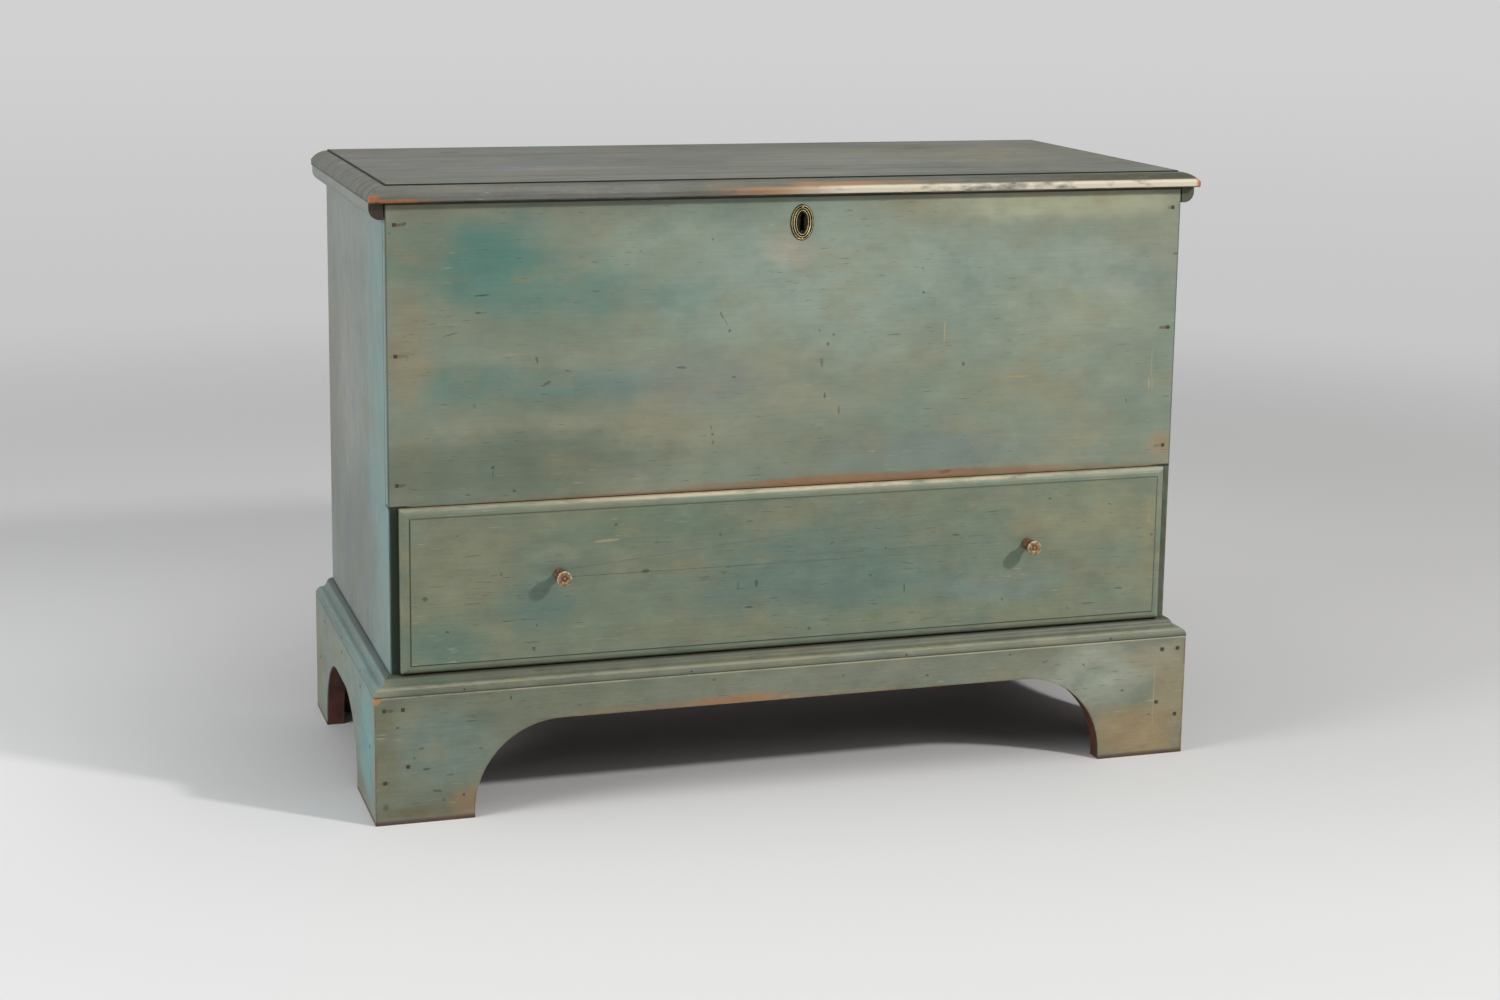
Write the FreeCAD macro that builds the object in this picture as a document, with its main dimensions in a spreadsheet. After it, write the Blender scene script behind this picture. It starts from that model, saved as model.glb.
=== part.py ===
"""Lift-top mule chest: a deep chest well over one long drawer, on a sawn bracket base.

Millimetres, +Z up, +X to the chest's right as one faces it, front towards -Y.
The origin is on the floor, under the middle of everything that the chest reaches.
Boards are plain blanks; each joint in them is cut by the very piece that seats in it.
"""
import FreeCAD
import Part
import Sketcher
import math
import os

Vector = FreeCAD.Vector

SIZES = {
    # Case
    "case_width": (1080, "across the outer faces of the side boards"),
    "case_depth": (500, "front face of the case to its back"),
    "case_height": (791, "floor to the top edge of the case"),
    "case_underside": (130, "floor to the lower edge of the side boards"),
    "side_thickness": (22, "side boards"),
    "front_thickness": (22, "front board of the well"),
    "front_drop": (384, "height of the front board of the well"),
    "back_thickness": (18, "back boards"),
    "back_seat": (11, "width of a back board that lies in the side board's rebate"),
    "back_lap": (10, "overlap of the two back boards"),
    "seam_rise": (55, "underside of the well's floor to the lap between the back boards"),
    "dado_depth": (8, "depth of the housings in the side boards"),
    "floor_thickness": (20, "floor of the well"),
    "bottom_thickness": (22, "bottom of the case, on which the drawer runs"),
    # Bracket base
    "base_thickness": (25, "bracket base boards"),
    "base_height": (168, "bracket base boards"),
    "front_clear": (124, "floor to the underside of the front apron"),
    "side_clear": (112, "floor to the underside of a side apron"),
    "front_foot": (128, "width of a foot, seen from the front"),
    "side_fore_foot": (151, "width of a front foot, seen from the side"),
    "side_rear_foot": (96, "width of a rear foot, seen from the side"),
    "front_sweep": (114, "radius of the bracket curves in front"),
    "side_sweep": (102, "radius of the bracket curves at the sides"),
    "rear_thickness": (20, "rear brackets"),
    "rear_foot": (62, "width of a rear bracket at the floor"),
    "rear_reach": (150, "width of a rear bracket at the top"),
    "rear_knee": (34, "height of the straight part of a rear bracket's foot"),
    "rear_brow": (22, "height of a rear bracket's far end"),
    "block_side": (34, "square section of the foot blocks"),
    "block_lift": (3, "floor to the lower end of the foot blocks"),
    "glue_block_side": (24, "section of the glue blocks behind the front apron"),
    "glue_block_length": (110, "glue blocks"),
    "glue_block_inset": (210, "end of the case to the middle of the outer glue blocks"),
    # Base moulding
    "moulding_height": (23, "base moulding"),
    "moulding_land": (1.5, "flat at the moulding's top edge"),
    "ovolo_width": (7.5, "upper ovolo, outwards"),
    "ovolo_drop": (6, "upper ovolo, downwards"),
    "cove_width": (6, "cove, outwards"),
    "cove_drop": (6, "cove, downwards"),
    "fillet_width": (1.5, "flat between the cove and the lower ovolo"),
    "moulding_foot": (1.5, "upright at the moulding's lower edge"),
    # Lid
    "lid_thickness": (21, "lid board"),
    "lid_gap": (0.3, "air between the shut lid and the case"),
    "lid_overhang": (16, "lid in front of the case"),
    "lid_border": (23, "width of the thumbnail edge"),
    "lid_step": (1.5, "small step inside the thumbnail edge"),
    "lid_drop": (12, "fall of the thumbnail curve"),
    "lid_under": (3, "round under the lid's nose"),
    "cleat_thickness": (18.5, "end cleats under the lid"),
    "cleat_height": (22, "end cleats"),
    "cleat_round": (14, "round of a cleat's lower outer corner"),
    "cleat_play": (1.5, "cleat to side board"),
    "cleat_reveal": (1, "lid beyond the cleat"),
    "cleat_setback": (3, "cleat's rear end from the lid's rear edge"),
    # Drawer
    "lip_thickness": (14.2, "lip of the drawer front"),
    "lip_lap": (9.6, "lip over each side board's front edge"),
    "drawer_front_thickness": (25.7, "drawer front, lip included"),
    "drawer_side_gap": (1.2, "drawer to side board"),
    "drawer_over_gap": (1.2, "drawer front to the board above it"),
    "drawer_under_gap": (1, "drawer to the case bottom"),
    "drawer_shut_gap": (0.3, "lip to the case when shut"),
    "drawer_border": (12, "width of the thumbnail edge round the drawer front"),
    "drawer_step": (1, "small step inside that edge"),
    "drawer_fall": (6, "fall of its curve"),
    "drawer_side_thickness": (14, "drawer sides"),
    "drawer_side_drop": (24, "top of the drawer front to the top of the drawer sides"),
    "drawer_rear_gap": (30, "drawer's rear to the back board"),
    "drawer_back_thickness": (14, "drawer back"),
    "drawer_bottom_thickness": (10, "drawer bottom"),
    "drawer_bottom_lift": (9, "lower edge of the sides to the drawer bottom"),
    "tongue": (6, "thickness and depth of the drawer bottom's tongue"),
    "pin_width": (30, "between two dovetails, at their roots"),
    "tail_flare": (2, "dovetail's spread on each side"),
    # Knobs
    "knob_inset": (216, "end of the case to a knob"),
    "knob_lift": (13, "middle of the drawer front up to the knobs"),
    "knob_length": (28, "knob in front of the drawer"),
    "knob_radius": (10, "knob's head"),
    "knob_head": (9, "length of the knob's head"),
    "knob_rim": (1.3, "rounding of the knob's face"),
    "knob_waist": (5.6, "radius of the knob's neck"),
    "knob_foot": (7.5, "radius of the knob's foot"),
    "knob_foot_length": (3, "knob's foot"),
    "knob_shoulder": (1.3, "rounding behind the knob's head"),
    "knob_tenon": (5, "radius of the tenon through the drawer front"),
    # Escutcheon and keyhole
    "escutcheon_width": (32, "oval escutcheon"),
    "escutcheon_height": (47, "oval escutcheon"),
    "escutcheon_plate": (1.2, "thickness of its plate"),
    "escutcheon_rim": (2.4, "thickness at its rim"),
    "rim_inset": (1.6, "edge of the oval to the raised rim"),
    "rim_width": (2.6, "raised rim"),
    "escutcheon_drop": (36.5, "top of the case to the oval's middle"),
    "keyhole_drop": (28.5, "top of the case to the middle of the keyhole's round"),
    "keyhole_radius": (4.3, "round of the keyhole"),
    "keyhole_neck": (5, "keyhole's slot at the round"),
    "keyhole_skirt": (7.4, "keyhole's slot at its lower end"),
    "keyhole_fall": (19, "middle of the round to the slot's lower end"),
    "escutcheon_pin_radius": (0.9, "escutcheon pins"),
    "escutcheon_pin_length": (9, "escutcheon pins"),
    "escutcheon_pin_inset": (3, "end of the oval to the pin"),
    # Lock
    "lock_width": (80, "lock plate"),
    "lock_height": (58, "lock plate"),
    "iron": (2, "thickness of lock plate, selvedge, keeper and hinge leaves"),
    "selvedge_width": (13, "top plate of the lock, plate included"),
    "cap_width": (66, "lock cap"),
    "cap_depth": (11, "lock cap in front of the plate"),
    "cap_height": (50, "lock cap"),
    "cap_wall": (1.2, "lock cap's walls"),
    "key_pin_radius": (1.5, "pin that a barrel key turns on"),
    "key_pin_length": (13, "that pin, from the plate"),
    "bolt_length": (40, "lock bolt"),
    "bolt_height": (8, "lock bolt"),
    "bolt_thickness": (3, "lock bolt"),
    "bolt_throw": (9, "travel of the bolt"),
    "bolt_top": (4, "top of the case to the bolt"),
    "bolt_back": (3, "plate to the bolt"),
    "bolt_play": (0.2, "bolt in its guides"),
    "guide_width": (4, "bolt guides, along the bolt"),
    "guide_wall": (1.5, "bolt guides round the bolt"),
    "talon_drop": (10, "tail of the bolt, which the key pushes"),
    "talon_width": (13, "that tail"),
    "talon_notch": (4, "radius of the notch in that tail"),
    "staple_width": (6, "staple of the keeper, along the bolt"),
    "staple_wall": (1.5, "staple's legs"),
    "staple_play": (0.6, "bolt in the staple"),
    "staple_gap": (2, "resting bolt to the staple"),
    "slot_play": (1, "staple in the selvedge's slot"),
    "keeper_width": (66, "keeper plate on the lid"),
    # Hinges
    "hinge_inset": (200, "end of the case to the middle of a hinge"),
    "hinge_length": (62, "hinge leaf"),
    "case_leaf": (16, "width of the leaf on the back board"),
    "lid_leaf": (26, "width of the leaf on the lid"),
    "barrel_radius": (3.6, "hinge knuckles"),
    "barrel_gap": (0.5, "knuckles to the wood"),
    "knuckle_gap": (0.3, "knuckle to knuckle, and knuckle to the other leaf"),
    "pin_radius": (1.7, "hinge pin"),
    "pin_play": (0.05, "hinge pin in the turning knuckles"),
    # Fastenings
    "nail_head": (5, "square head of a cut nail"),
    "nail_cap": (1.2, "thickness of that head"),
    "nail_shank": (3, "shank under the head"),
    "nail_tip": (1.2, "shank at the point"),
    "nail_length": (48, "cut nails"),
    "brad_head": (2.4, "square head of a moulding brad"),
    "brad_shank": (1.6, "shank of a brad"),
    "brad_length": (32, "moulding brads"),
    "brad_rise": (4, "moulding's lower edge to its brads"),
    "screw_head": (3, "radius of a screw's head"),
    "screw_cone": (1.6, "height of a screw's countersunk head"),
    "screw_shank": (1.5, "radius of a screw's shank"),
    "screw_length": (13, "screws"),
    "clench": (6, "lid nails and base side nails stop this far short of the far face"),
    "nail_inset": (28, "end of a board's edge to its nearest nail"),
    "nail_margin": (90, "corner of the chest to the nearest nail of a long row"),
    "nail_edge": (17, "long edge of a base board to its nails"),
}
BOW = 1.15  # a moulding's curves are this much flatter than a quarter round
KNUCKLES = 5
TAILS = 3
GLUE_BLOCKS = 3
LEFT, RIGHT = -1, 1

doc = FreeCAD.newDocument("mule_chest")
sheet = doc.addObject("Spreadsheet::Sheet", "Sizes")
parts = {}
serial = {"next": 0}


class Size:
    """A length: its value now, and the expression that ties it to the sheet."""

    def __init__(self, value, text):
        self.value = value
        self.text = text

    def joined(self, other, sign, work):
        other = as_size(other)
        return Size(work(self.value, other.value), f"({self.text} {sign} {other.text})")

    def __add__(self, other):
        return self.joined(other, "+", lambda a, b: a + b)

    def __sub__(self, other):
        return self.joined(other, "-", lambda a, b: a - b)

    def __mul__(self, other):
        return self.joined(other, "*", lambda a, b: a * b)

    def __truediv__(self, other):
        return self.joined(other, "/", lambda a, b: a / b)

    def __radd__(self, other):
        return as_size(other) + self

    def __rsub__(self, other):
        return as_size(other) - self

    def __rmul__(self, other):
        return as_size(other) * self

    def __neg__(self):
        return as_size(0) - self


def as_size(number):
    return number if isinstance(number, Size) else Size(number, f"({number})")


class Sheet:
    """Gives each cell of the sheet as a Size under its own name."""

    def __init__(self):
        for row, (alias, (number, meaning)) in enumerate(SIZES.items(), start=1):
            sheet.set(f"A{row}", alias)
            sheet.set(f"B{row}", str(number))
            sheet.setAlias(f"B{row}", alias)
            sheet.set(f"C{row}", meaning)
            setattr(self, alias, Size(number, f"Sizes.{alias}"))


s = Sheet()
doc.recompute()

# ---------------------------------------------------------------- places that many pieces share
HALF = s.case_width / 2
REACH_IN_FRONT = s.lip_thickness + s.drawer_shut_gap + s.knob_length
REACH_BEHIND = s.barrel_gap + 2 * s.barrel_radius
FRONT = (REACH_IN_FRONT - s.case_depth - REACH_BEHIND) / 2
BACK = FRONT + s.case_depth
TOP = s.case_height
FLOOR_UNDER = TOP - s.front_drop
BASE_HALF = HALF + s.base_thickness
BASE_FRONT = FRONT - s.base_thickness
BOTTOM_TOP = s.base_height + s.moulding_height
OPENING_HALF = HALF - s.side_thickness
BACK_INSIDE = BACK - s.back_thickness
BACK_SEAM = FLOOR_UNDER + s.seam_rise
LID_UNDER = TOP + s.lid_gap
LID_TOP = LID_UNDER + s.lid_thickness
LID_HALF = HALF + s.cleat_play + s.cleat_thickness + s.cleat_reveal
LID_FRONT = FRONT - s.lid_overhang
LIP_BACK = FRONT - s.drawer_shut_gap
LIP_FACE = LIP_BACK - s.lip_thickness
DRAWER_INSIDE = LIP_FACE + s.drawer_front_thickness
DRAWER_REAR = BACK_INSIDE - s.drawer_rear_gap
DRAWER_UNDER = BOTTOM_TOP + s.drawer_under_gap
DRAWER_TOP = FLOOR_UNDER - s.drawer_over_gap
DRAWER_SIDE_TOP = DRAWER_TOP - s.drawer_side_drop
DRAWER_HALF = OPENING_HALF - s.drawer_side_gap
LOCK_FACE = FRONT + s.front_thickness
LOCK_PLATE = LOCK_FACE - s.iron
PIVOT_Y = BACK + s.barrel_gap + s.barrel_radius
PIVOT_Z = TOP + s.lid_gap / 2


# ---------------------------------------------------------------- tools for drawing the pieces
def new(kind, name):
    serial["next"] += 1
    return doc.addObject(kind, f"{name}_{serial['next']}")


def bind(thing, **sizes):
    for name, size in sizes.items():
        thing.setExpression(name, as_size(size).text)


def bind_base(thing, x=0, y=0, z=0):
    for axis, size in (("x", x), ("y", y), ("z", z)):
        thing.setExpression(f".Placement.Base.{axis}", as_size(size).text)


def arc_between(start, end, radius, side):
    """The short arc between two points, its centre on the left (1) or the right (-1) of the way."""
    middle = (start + end) * 0.5
    way = end - start
    rise = math.sqrt(max(radius * radius - (way.Length / 2) ** 2, 0))
    centre = middle + Vector(-way.y, way.x, 0).normalize() * rise * side
    turns = sorted_turns(start - centre, end - centre, side)
    return Part.ArcOfCircle(Part.Circle(centre, Vector(0, 0, 1), radius), *turns)


def sorted_turns(from_centre, to_centre, side):
    first = math.atan2(from_centre.y, from_centre.x)
    last = math.atan2(to_centre.y, to_centre.x)
    if side == RIGHT:
        return first, last + (2 * math.pi if last < first else 0)
    return last, first + (2 * math.pi if first < last else 0)


def draw_outline(sketch, corners):
    """Closed outline. A corner is (x, y), or (x, y, radius, side) where an arc arrives at it."""
    points = [Vector(as_size(c[0]).value, as_size(c[1]).value, 0) for c in corners]
    rules = []
    ends = []
    for i, corner in enumerate(corners):
        start, end = points[i - 1], points[i]
        if len(corner) == 4:
            radius = as_size(corner[2])
            number = sketch.addGeometry(arc_between(start, end, radius.value, corner[3]), False)
            rules.append((Sketcher.Constraint("Radius", number, radius.value), radius))
            ends.append((number, 1, 2) if corner[3] == RIGHT else (number, 2, 1))
        else:
            number = sketch.addGeometry(Part.LineSegment(start, end), False)
            ends.append((number, 1, 2))
    for i, corner in enumerate(corners):
        number, _, last = ends[i]
        follower, first, _ = ends[(i + 1) % len(corners)]
        rules.append((Sketcher.Constraint("Coincident", number, last, follower, first), None))
        for kind, size in (("DistanceX", corner[0]), ("DistanceY", corner[1])):
            size = as_size(size)
            rules.append((Sketcher.Constraint(kind, -1, 1, number, last, size.value), size))
    tie_rules(sketch, rules)


def draw_circle(sketch, x, y, radius):
    x, y, radius = as_size(x), as_size(y), as_size(radius)
    circle = Part.Circle(Vector(x.value, y.value, 0), Vector(0, 0, 1), radius.value)
    number = sketch.addGeometry(circle, False)
    tie_rules(sketch, [
        (Sketcher.Constraint("DistanceX", -1, 1, number, 3, x.value), x),
        (Sketcher.Constraint("DistanceY", -1, 1, number, 3, y.value), y),
        (Sketcher.Constraint("Radius", number, radius.value), radius),
    ])


def tie_rules(sketch, rules):
    first = sketch.ConstraintCount
    sketch.addConstraint([rule for rule, _ in rules])
    for i, (_, size) in enumerate(rules):
        if size is not None:
            sketch.setExpression(f"Constraints[{first + i}]", size.text)


def new_sketch(body, plane, offset):
    sketch = body.newObject("Sketcher::SketchObject", "outline")
    origin_plane = [f for f in body.Origin.OriginFeatures if f.Role == f"{plane}_Plane"][0]
    sketch.AttachmentSupport = [(origin_plane, "")]
    sketch.MapMode = "FlatFace"
    sketch.setExpression(".AttachmentOffset.Base.z", as_size(offset).text)
    return sketch


def draw(sketch, outline):
    if outline[0] == "circle":
        draw_circle(sketch, *outline[1:])
    else:
        draw_outline(sketch, outline)


def pad(body, plane, outline, low, high):
    """Adds the outline, drawn in a plane of the chest's own frame, from low to high across it."""
    sketch = new_sketch(body, plane, -as_size(high) if plane == "XZ" else low)
    draw(sketch, outline)
    feature = body.newObject("PartDesign::Pad", "pad")
    feature.Profile = sketch
    bind(feature, Length=as_size(high) - low)
    doc.recompute()


def carve(body, plane, outline, low, high):
    """Takes the outline away from low to high, and makes sure that wood or metal went."""
    before = body.Shape.Volume
    sketch = new_sketch(body, plane, -as_size(low) if plane == "XZ" else high)
    draw(sketch, outline)
    feature = body.newObject("PartDesign::Pocket", "pocket")
    feature.Profile = sketch
    bind(feature, Length=as_size(high) - low)
    doc.recompute()
    if body.Shape.Volume >= before:
        raise RuntimeError(f"a cut in {body.Label} took nothing away")


def box(x1, y1, x2, y2):
    return [(x1, y1), (x2, y1), (x2, y2), (x1, y2)]


def body_of(plane, outline, low, high, name="blank"):
    body = new("PartDesign::Body", name)
    pad(body, plane, outline, low, high)
    return body


def keep(label, thing):
    """Names a finished sub-part."""
    thing.Label = label
    parts[label] = thing
    return thing


def together(things):
    group = new("Part::Compound", "group")
    group.Links = list(things)
    return group


def fit(label, blank, *seated):
    """Finishes a board by cutting away what seats in it or passes through it."""
    cut = new("Part::Cut", "fitted")
    cut.Base = blank
    cut.Tool = seated[0] if len(seated) == 1 else together(seated)
    return keep(label, cut)


def mirror(label, source):
    """The same piece at the chest's other end."""
    twin = new("Part::Mirroring", "mirrored")
    twin.Source = source
    twin.Normal = Vector(1, 0, 0)
    return keep(label, twin)


# ---------------------------------------------------------------- fastenings
TURNS = {
    "+Y": FreeCAD.Rotation(),
    "-Y": FreeCAD.Rotation(Vector(0, 0, 1), 180),
    "+X": FreeCAD.Rotation(Vector(0, 0, 1), -90),
    "-X": FreeCAD.Rotation(Vector(0, 0, 1), 90),
    "+Z": FreeCAD.Rotation(Vector(1, 0, 0), 90),
    "-Z": FreeCAD.Rotation(Vector(1, 0, 0), -90),
}


def place(thing, heading, x, y, z):
    thing.Placement = FreeCAD.Placement(Vector(), TURNS[heading])
    bind_base(thing, x, y, z)
    return thing


def cut_nail(heading, x, y, z, length, head, cap, shank, tip):
    """Square-headed nail with a wedge shank; the middle of its head's face is at the given place."""
    top = new("Part::Wedge", "nail_head")
    bind(top, Xmin=-head / 2, Xmax=head / 2, Zmin=-head / 2, Zmax=head / 2, Ymin=0, Ymax=cap)
    bind(top, X2min=-shank / 2, X2max=shank / 2, Z2min=-shank / 2, Z2max=shank / 2)
    stem = new("Part::Wedge", "nail_shank")
    bind(stem, Xmin=-shank / 2, Xmax=shank / 2, Zmin=-shank / 2, Zmax=shank / 2, Ymin=cap)
    bind(stem, X2min=-tip / 2, X2max=tip / 2, Z2min=-shank / 2, Z2max=shank / 2, Ymax=length)
    nail = new("Part::Fuse", "nail")
    nail.Base, nail.Tool = top, stem
    return place(nail, heading, x, y, z)


def nail(heading, x, y, z, length=None):
    return cut_nail(heading, x, y, z, length or s.nail_length, s.nail_head, s.nail_cap,
                    s.nail_shank, s.nail_tip)


def brad(heading, x, y, z):
    return cut_nail(heading, x, y, z, s.brad_length, s.brad_head, s.nail_cap,
                    s.brad_shank, s.brad_shank / 2)


def screw(heading, x, y, z):
    """Countersunk screw, driven the given way; the middle of its head is at the given place."""
    profile = [(0, 0), (s.screw_head, 0), (s.screw_shank, s.screw_cone),
               (s.screw_shank, s.screw_length - s.screw_shank), (0, s.screw_length)]
    return place(turned(profile), heading, x, y, z)


def turned(profile):
    """A solid of revolution about +Y from an outline of (radius, y) points."""
    body = new("PartDesign::Body", "turned")
    sketch = new_sketch(body, "XY", 0)
    draw(sketch, profile)
    feature = body.newObject("PartDesign::Revolution", "turn")
    feature.Profile = sketch
    feature.ReferenceAxis = (sketch, ["V_Axis"])
    feature.Angle = 360
    doc.recompute()
    return body


def rows(first, last, count):
    """Evenly spaced places from first to last."""
    return [first + (as_size(last) - first) * (i / (count - 1)) for i in range(count)]


# ---------------------------------------------------------------- nails, in groups of a kind
def nail_front_board():
    """Three nails at each end of the front board, into the side boards' edges."""
    at_x = HALF - s.side_thickness / 2
    heights = rows(TOP - s.nail_inset, FLOOR_UNDER + s.nail_inset, 3)
    nails = [nail("+Y", end * at_x, FRONT, z) for end in (LEFT, RIGHT) for z in heights]
    return keep("front_board_nails", together(nails))


def nail_base_front():
    """The front base board to the side base boards, the feet's blocks and the case."""
    mitre = HALF + s.base_thickness / 2
    block = HALF - s.block_side / 2
    high = s.base_height - s.nail_edge
    spots = [(mitre, high), (mitre, s.base_height / 3), (block, (s.base_height - s.nail_edge) / 2)]
    spots.append((HALF - s.side_thickness / 2, high))
    nails = [nail("+Y", end * x, BASE_FRONT, z) for end in (LEFT, RIGHT) for x, z in spots]
    return keep("base_front_nails", together(nails))


def nail_base_sides():
    """The side base boards to the side boards and the rear feet's blocks."""
    length = s.base_thickness + s.side_thickness - s.clench
    spots = [(y, s.base_height - s.nail_edge)
             for y in rows(FRONT + s.nail_margin, BACK - s.nail_margin, 3)]
    spots.append((BACK - s.rear_thickness - s.block_side / 2, s.base_height / 2))
    spots.append((FRONT + s.block_side / 2, (s.base_height + s.nail_edge) / 2))
    nails = []
    for end, heading in ((LEFT, "+X"), (RIGHT, "-X")):
        nails += [nail(heading, end * BASE_HALF, y, z, length) for y, z in spots]
    return keep("base_side_nails", together(nails))


def brad_mouldings():
    """Small brads through the lower part of the base moulding."""
    height = s.base_height + s.brad_rise
    brads = [brad("+Y", x, BASE_FRONT, height)
             for x in rows(-HALF + s.nail_margin, HALF - s.nail_margin, 4)]
    for end, heading in ((LEFT, "+X"), (RIGHT, "-X")):
        depths = rows(FRONT + s.nail_margin, BACK - s.nail_margin, 3)
        brads += [brad(heading, end * BASE_HALF, y, height) for y in depths]
    return keep("moulding_brads", together(brads))


def nail_back_boards():
    """Rows of nails at the back boards' ends, and along the well floor and the case bottom."""
    at_x = OPENING_HALF + s.back_seat / 2
    lower = rows(s.case_underside + s.nail_inset, BACK_SEAM - s.back_lap - s.nail_inset, 3)
    upper = rows(BACK_SEAM + s.nail_inset, TOP - s.nail_inset, 3)
    nails = [nail("-Y", end * at_x, BACK, z) for end in (LEFT, RIGHT) for z in lower + upper]
    for height in (FLOOR_UNDER + s.floor_thickness / 2, BOTTOM_TOP - s.bottom_thickness / 2):
        nails += [nail("-Y", x, BACK, height)
                  for x in rows(-HALF + s.nail_margin, HALF - s.nail_margin, 5)]
    return keep("back_board_nails", together(nails))


def nail_cleats():
    """Nails up through the end cleats into the lid."""
    at_x = HALF + s.cleat_play + s.cleat_thickness / 4
    start = LID_UNDER - s.cleat_height + s.nail_cap
    length = LID_TOP - start - s.clench
    depths = rows(FRONT + s.nail_inset, BACK - s.nail_inset, 4)
    nails = [nail("+Z", end * at_x, y, start, length) for end in (LEFT, RIGHT) for y in depths]
    return keep("cleat_nails", together(nails))


def nail_drawer_bottom():
    """Nails up through the drawer bottom into the lower edge of the drawer back."""
    at_y = DRAWER_REAR - s.drawer_back_thickness / 2
    start = DRAWER_UNDER + s.drawer_bottom_lift
    places = rows(-DRAWER_HALF + s.nail_margin, DRAWER_HALF - s.nail_margin, 5)
    return keep("drawer_bottom_nails",
                together([nail("+Z", x, at_y, start, s.brad_length) for x in places]))


# ---------------------------------------------------------------- keyhole and escutcheon
def keyhole_plug():
    """A solid the shape of the round-topped keyhole, from before the oval into the lock."""
    middle = TOP - s.keyhole_drop
    lower = middle - s.keyhole_fall
    low = FRONT - 2 * s.escutcheon_rim
    high = LOCK_PLATE - s.cap_depth + 2 * s.cap_wall
    plug = body_of("XZ", ("circle", 0, middle, s.keyhole_radius), low, high, "keyhole")
    slot = [(-s.keyhole_neck / 2, middle), (-s.keyhole_skirt / 2, lower),
            (s.keyhole_skirt / 2, lower), (s.keyhole_neck / 2, middle)]
    pad(plug, "XZ", slot, low, high)
    return plug


def oval(width, height, thickness):
    """An upright oval disc on the front board, round the keyhole."""
    edge = new("Part::Ellipse", "oval_edge")
    bind(edge, MajorRadius=height / 2, MinorRadius=width / 2)
    turn = FreeCAD.Rotation(Vector(0, 0, 1), Vector(-1, 0, 0), Vector(0, -1, 0), "ZXY")
    edge.Placement = FreeCAD.Placement(Vector(), turn)
    bind_base(edge, 0, FRONT, TOP - s.escutcheon_drop)
    disc = new("Part::Extrusion", "oval")
    disc.Base = edge
    disc.DirMode = "Custom"
    disc.Dir = Vector(0, -1, 0)
    disc.Solid = True
    bind(disc, LengthFwd=thickness)
    return disc


def escutcheon_pins():
    """Two round pins at the ends of the oval."""
    profile = box(0, 0, s.escutcheon_pin_radius, s.escutcheon_pin_length)
    reach = s.escutcheon_height / 2 - s.escutcheon_pin_inset
    middle = TOP - s.escutcheon_drop
    pins = [place(turned(profile), "+Y", 0, FRONT - s.escutcheon_rim, middle + end * reach)
            for end in (LEFT, RIGHT)]
    return keep("escutcheon_pins", together(pins))


def escutcheon(keyhole, pins):
    """Stepped oval of thin brass: a plate with a raised rim inside its edge."""
    wide, tall = s.escutcheon_width, s.escutcheon_height
    outer, inner = 2 * s.rim_inset, 2 * (s.rim_inset + s.rim_width)
    rim = new("Part::Cut", "rim")
    rim.Base = oval(wide - outer, tall - outer, s.escutcheon_rim)
    rim.Tool = oval(wide - inner, tall - inner, s.escutcheon_rim)
    stepped = new("Part::Fuse", "stepped")
    stepped.Base, stepped.Tool = oval(wide, tall, s.escutcheon_plate), rim
    return fit("escutcheon", stepped, keyhole, pins)


# ---------------------------------------------------------------- lock
CAP_FRONT = LOCK_PLATE - s.cap_depth
CAP_UNDER = TOP - s.iron - s.cap_height
BOLT_TOP = TOP - s.bolt_top
BOLT_UNDER = BOLT_TOP - s.bolt_height
BOLT_BACK = LOCK_PLATE - s.bolt_back
BOLT_FRONT = BOLT_BACK - s.bolt_thickness
BOLT_END = s.bolt_length / 3
STAPLE_START = BOLT_END + s.staple_gap


def lock_screws():
    """Screws through the lower corners and the sides of the lock plate, into the front board."""
    at_x = (s.lock_width + s.cap_width) / 4
    heights = (TOP - s.lock_height + 2 * s.screw_head, TOP - s.selvedge_width)
    screws = [screw("-Y", end * at_x, LOCK_FACE, z) for end in (LEFT, RIGHT) for z in heights]
    return keep("lock_screws", together(screws))


def lock_plate(screws):
    """Plate on the board's inner face with a top plate, two guides for the bolt and a key pin."""
    wide = s.lock_width / 2
    plate = body_of("XZ", box(-wide, TOP - s.lock_height, wide, TOP), LOCK_PLATE, LOCK_FACE)
    pad(plate, "XY", box(-wide, LOCK_FACE - s.selvedge_width, wide, LOCK_FACE), TOP - s.iron, TOP)
    tail = BOLT_END - s.bolt_length
    for x in (tail + s.guide_width, BOLT_END - s.guide_width):
        guide = box(x - s.guide_width / 2, BOLT_FRONT - s.guide_wall, x + s.guide_width / 2, LOCK_PLATE)
        pad(plate, "XY", guide, BOLT_UNDER - s.guide_wall, TOP - s.iron)
    pad(plate, "XZ", ("circle", 0, TOP - s.keyhole_drop, s.key_pin_radius),
        LOCK_PLATE - s.key_pin_length, LOCK_PLATE)
    way = box(BOLT_FRONT - s.bolt_play, BOLT_UNDER - s.bolt_play,
              BOLT_BACK + s.bolt_play, BOLT_TOP + s.bolt_play)
    carve(plate, "YZ", way, tail - s.bolt_throw, BOLT_END + s.bolt_throw)
    slot = box(STAPLE_START - s.slot_play, BOLT_FRONT - s.staple_play - s.staple_wall - s.slot_play,
               STAPLE_START + s.staple_width + s.slot_play, LOCK_PLATE)
    carve(plate, "XY", slot, TOP - s.iron, TOP)
    return fit("lock_plate", plate, screws)


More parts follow.
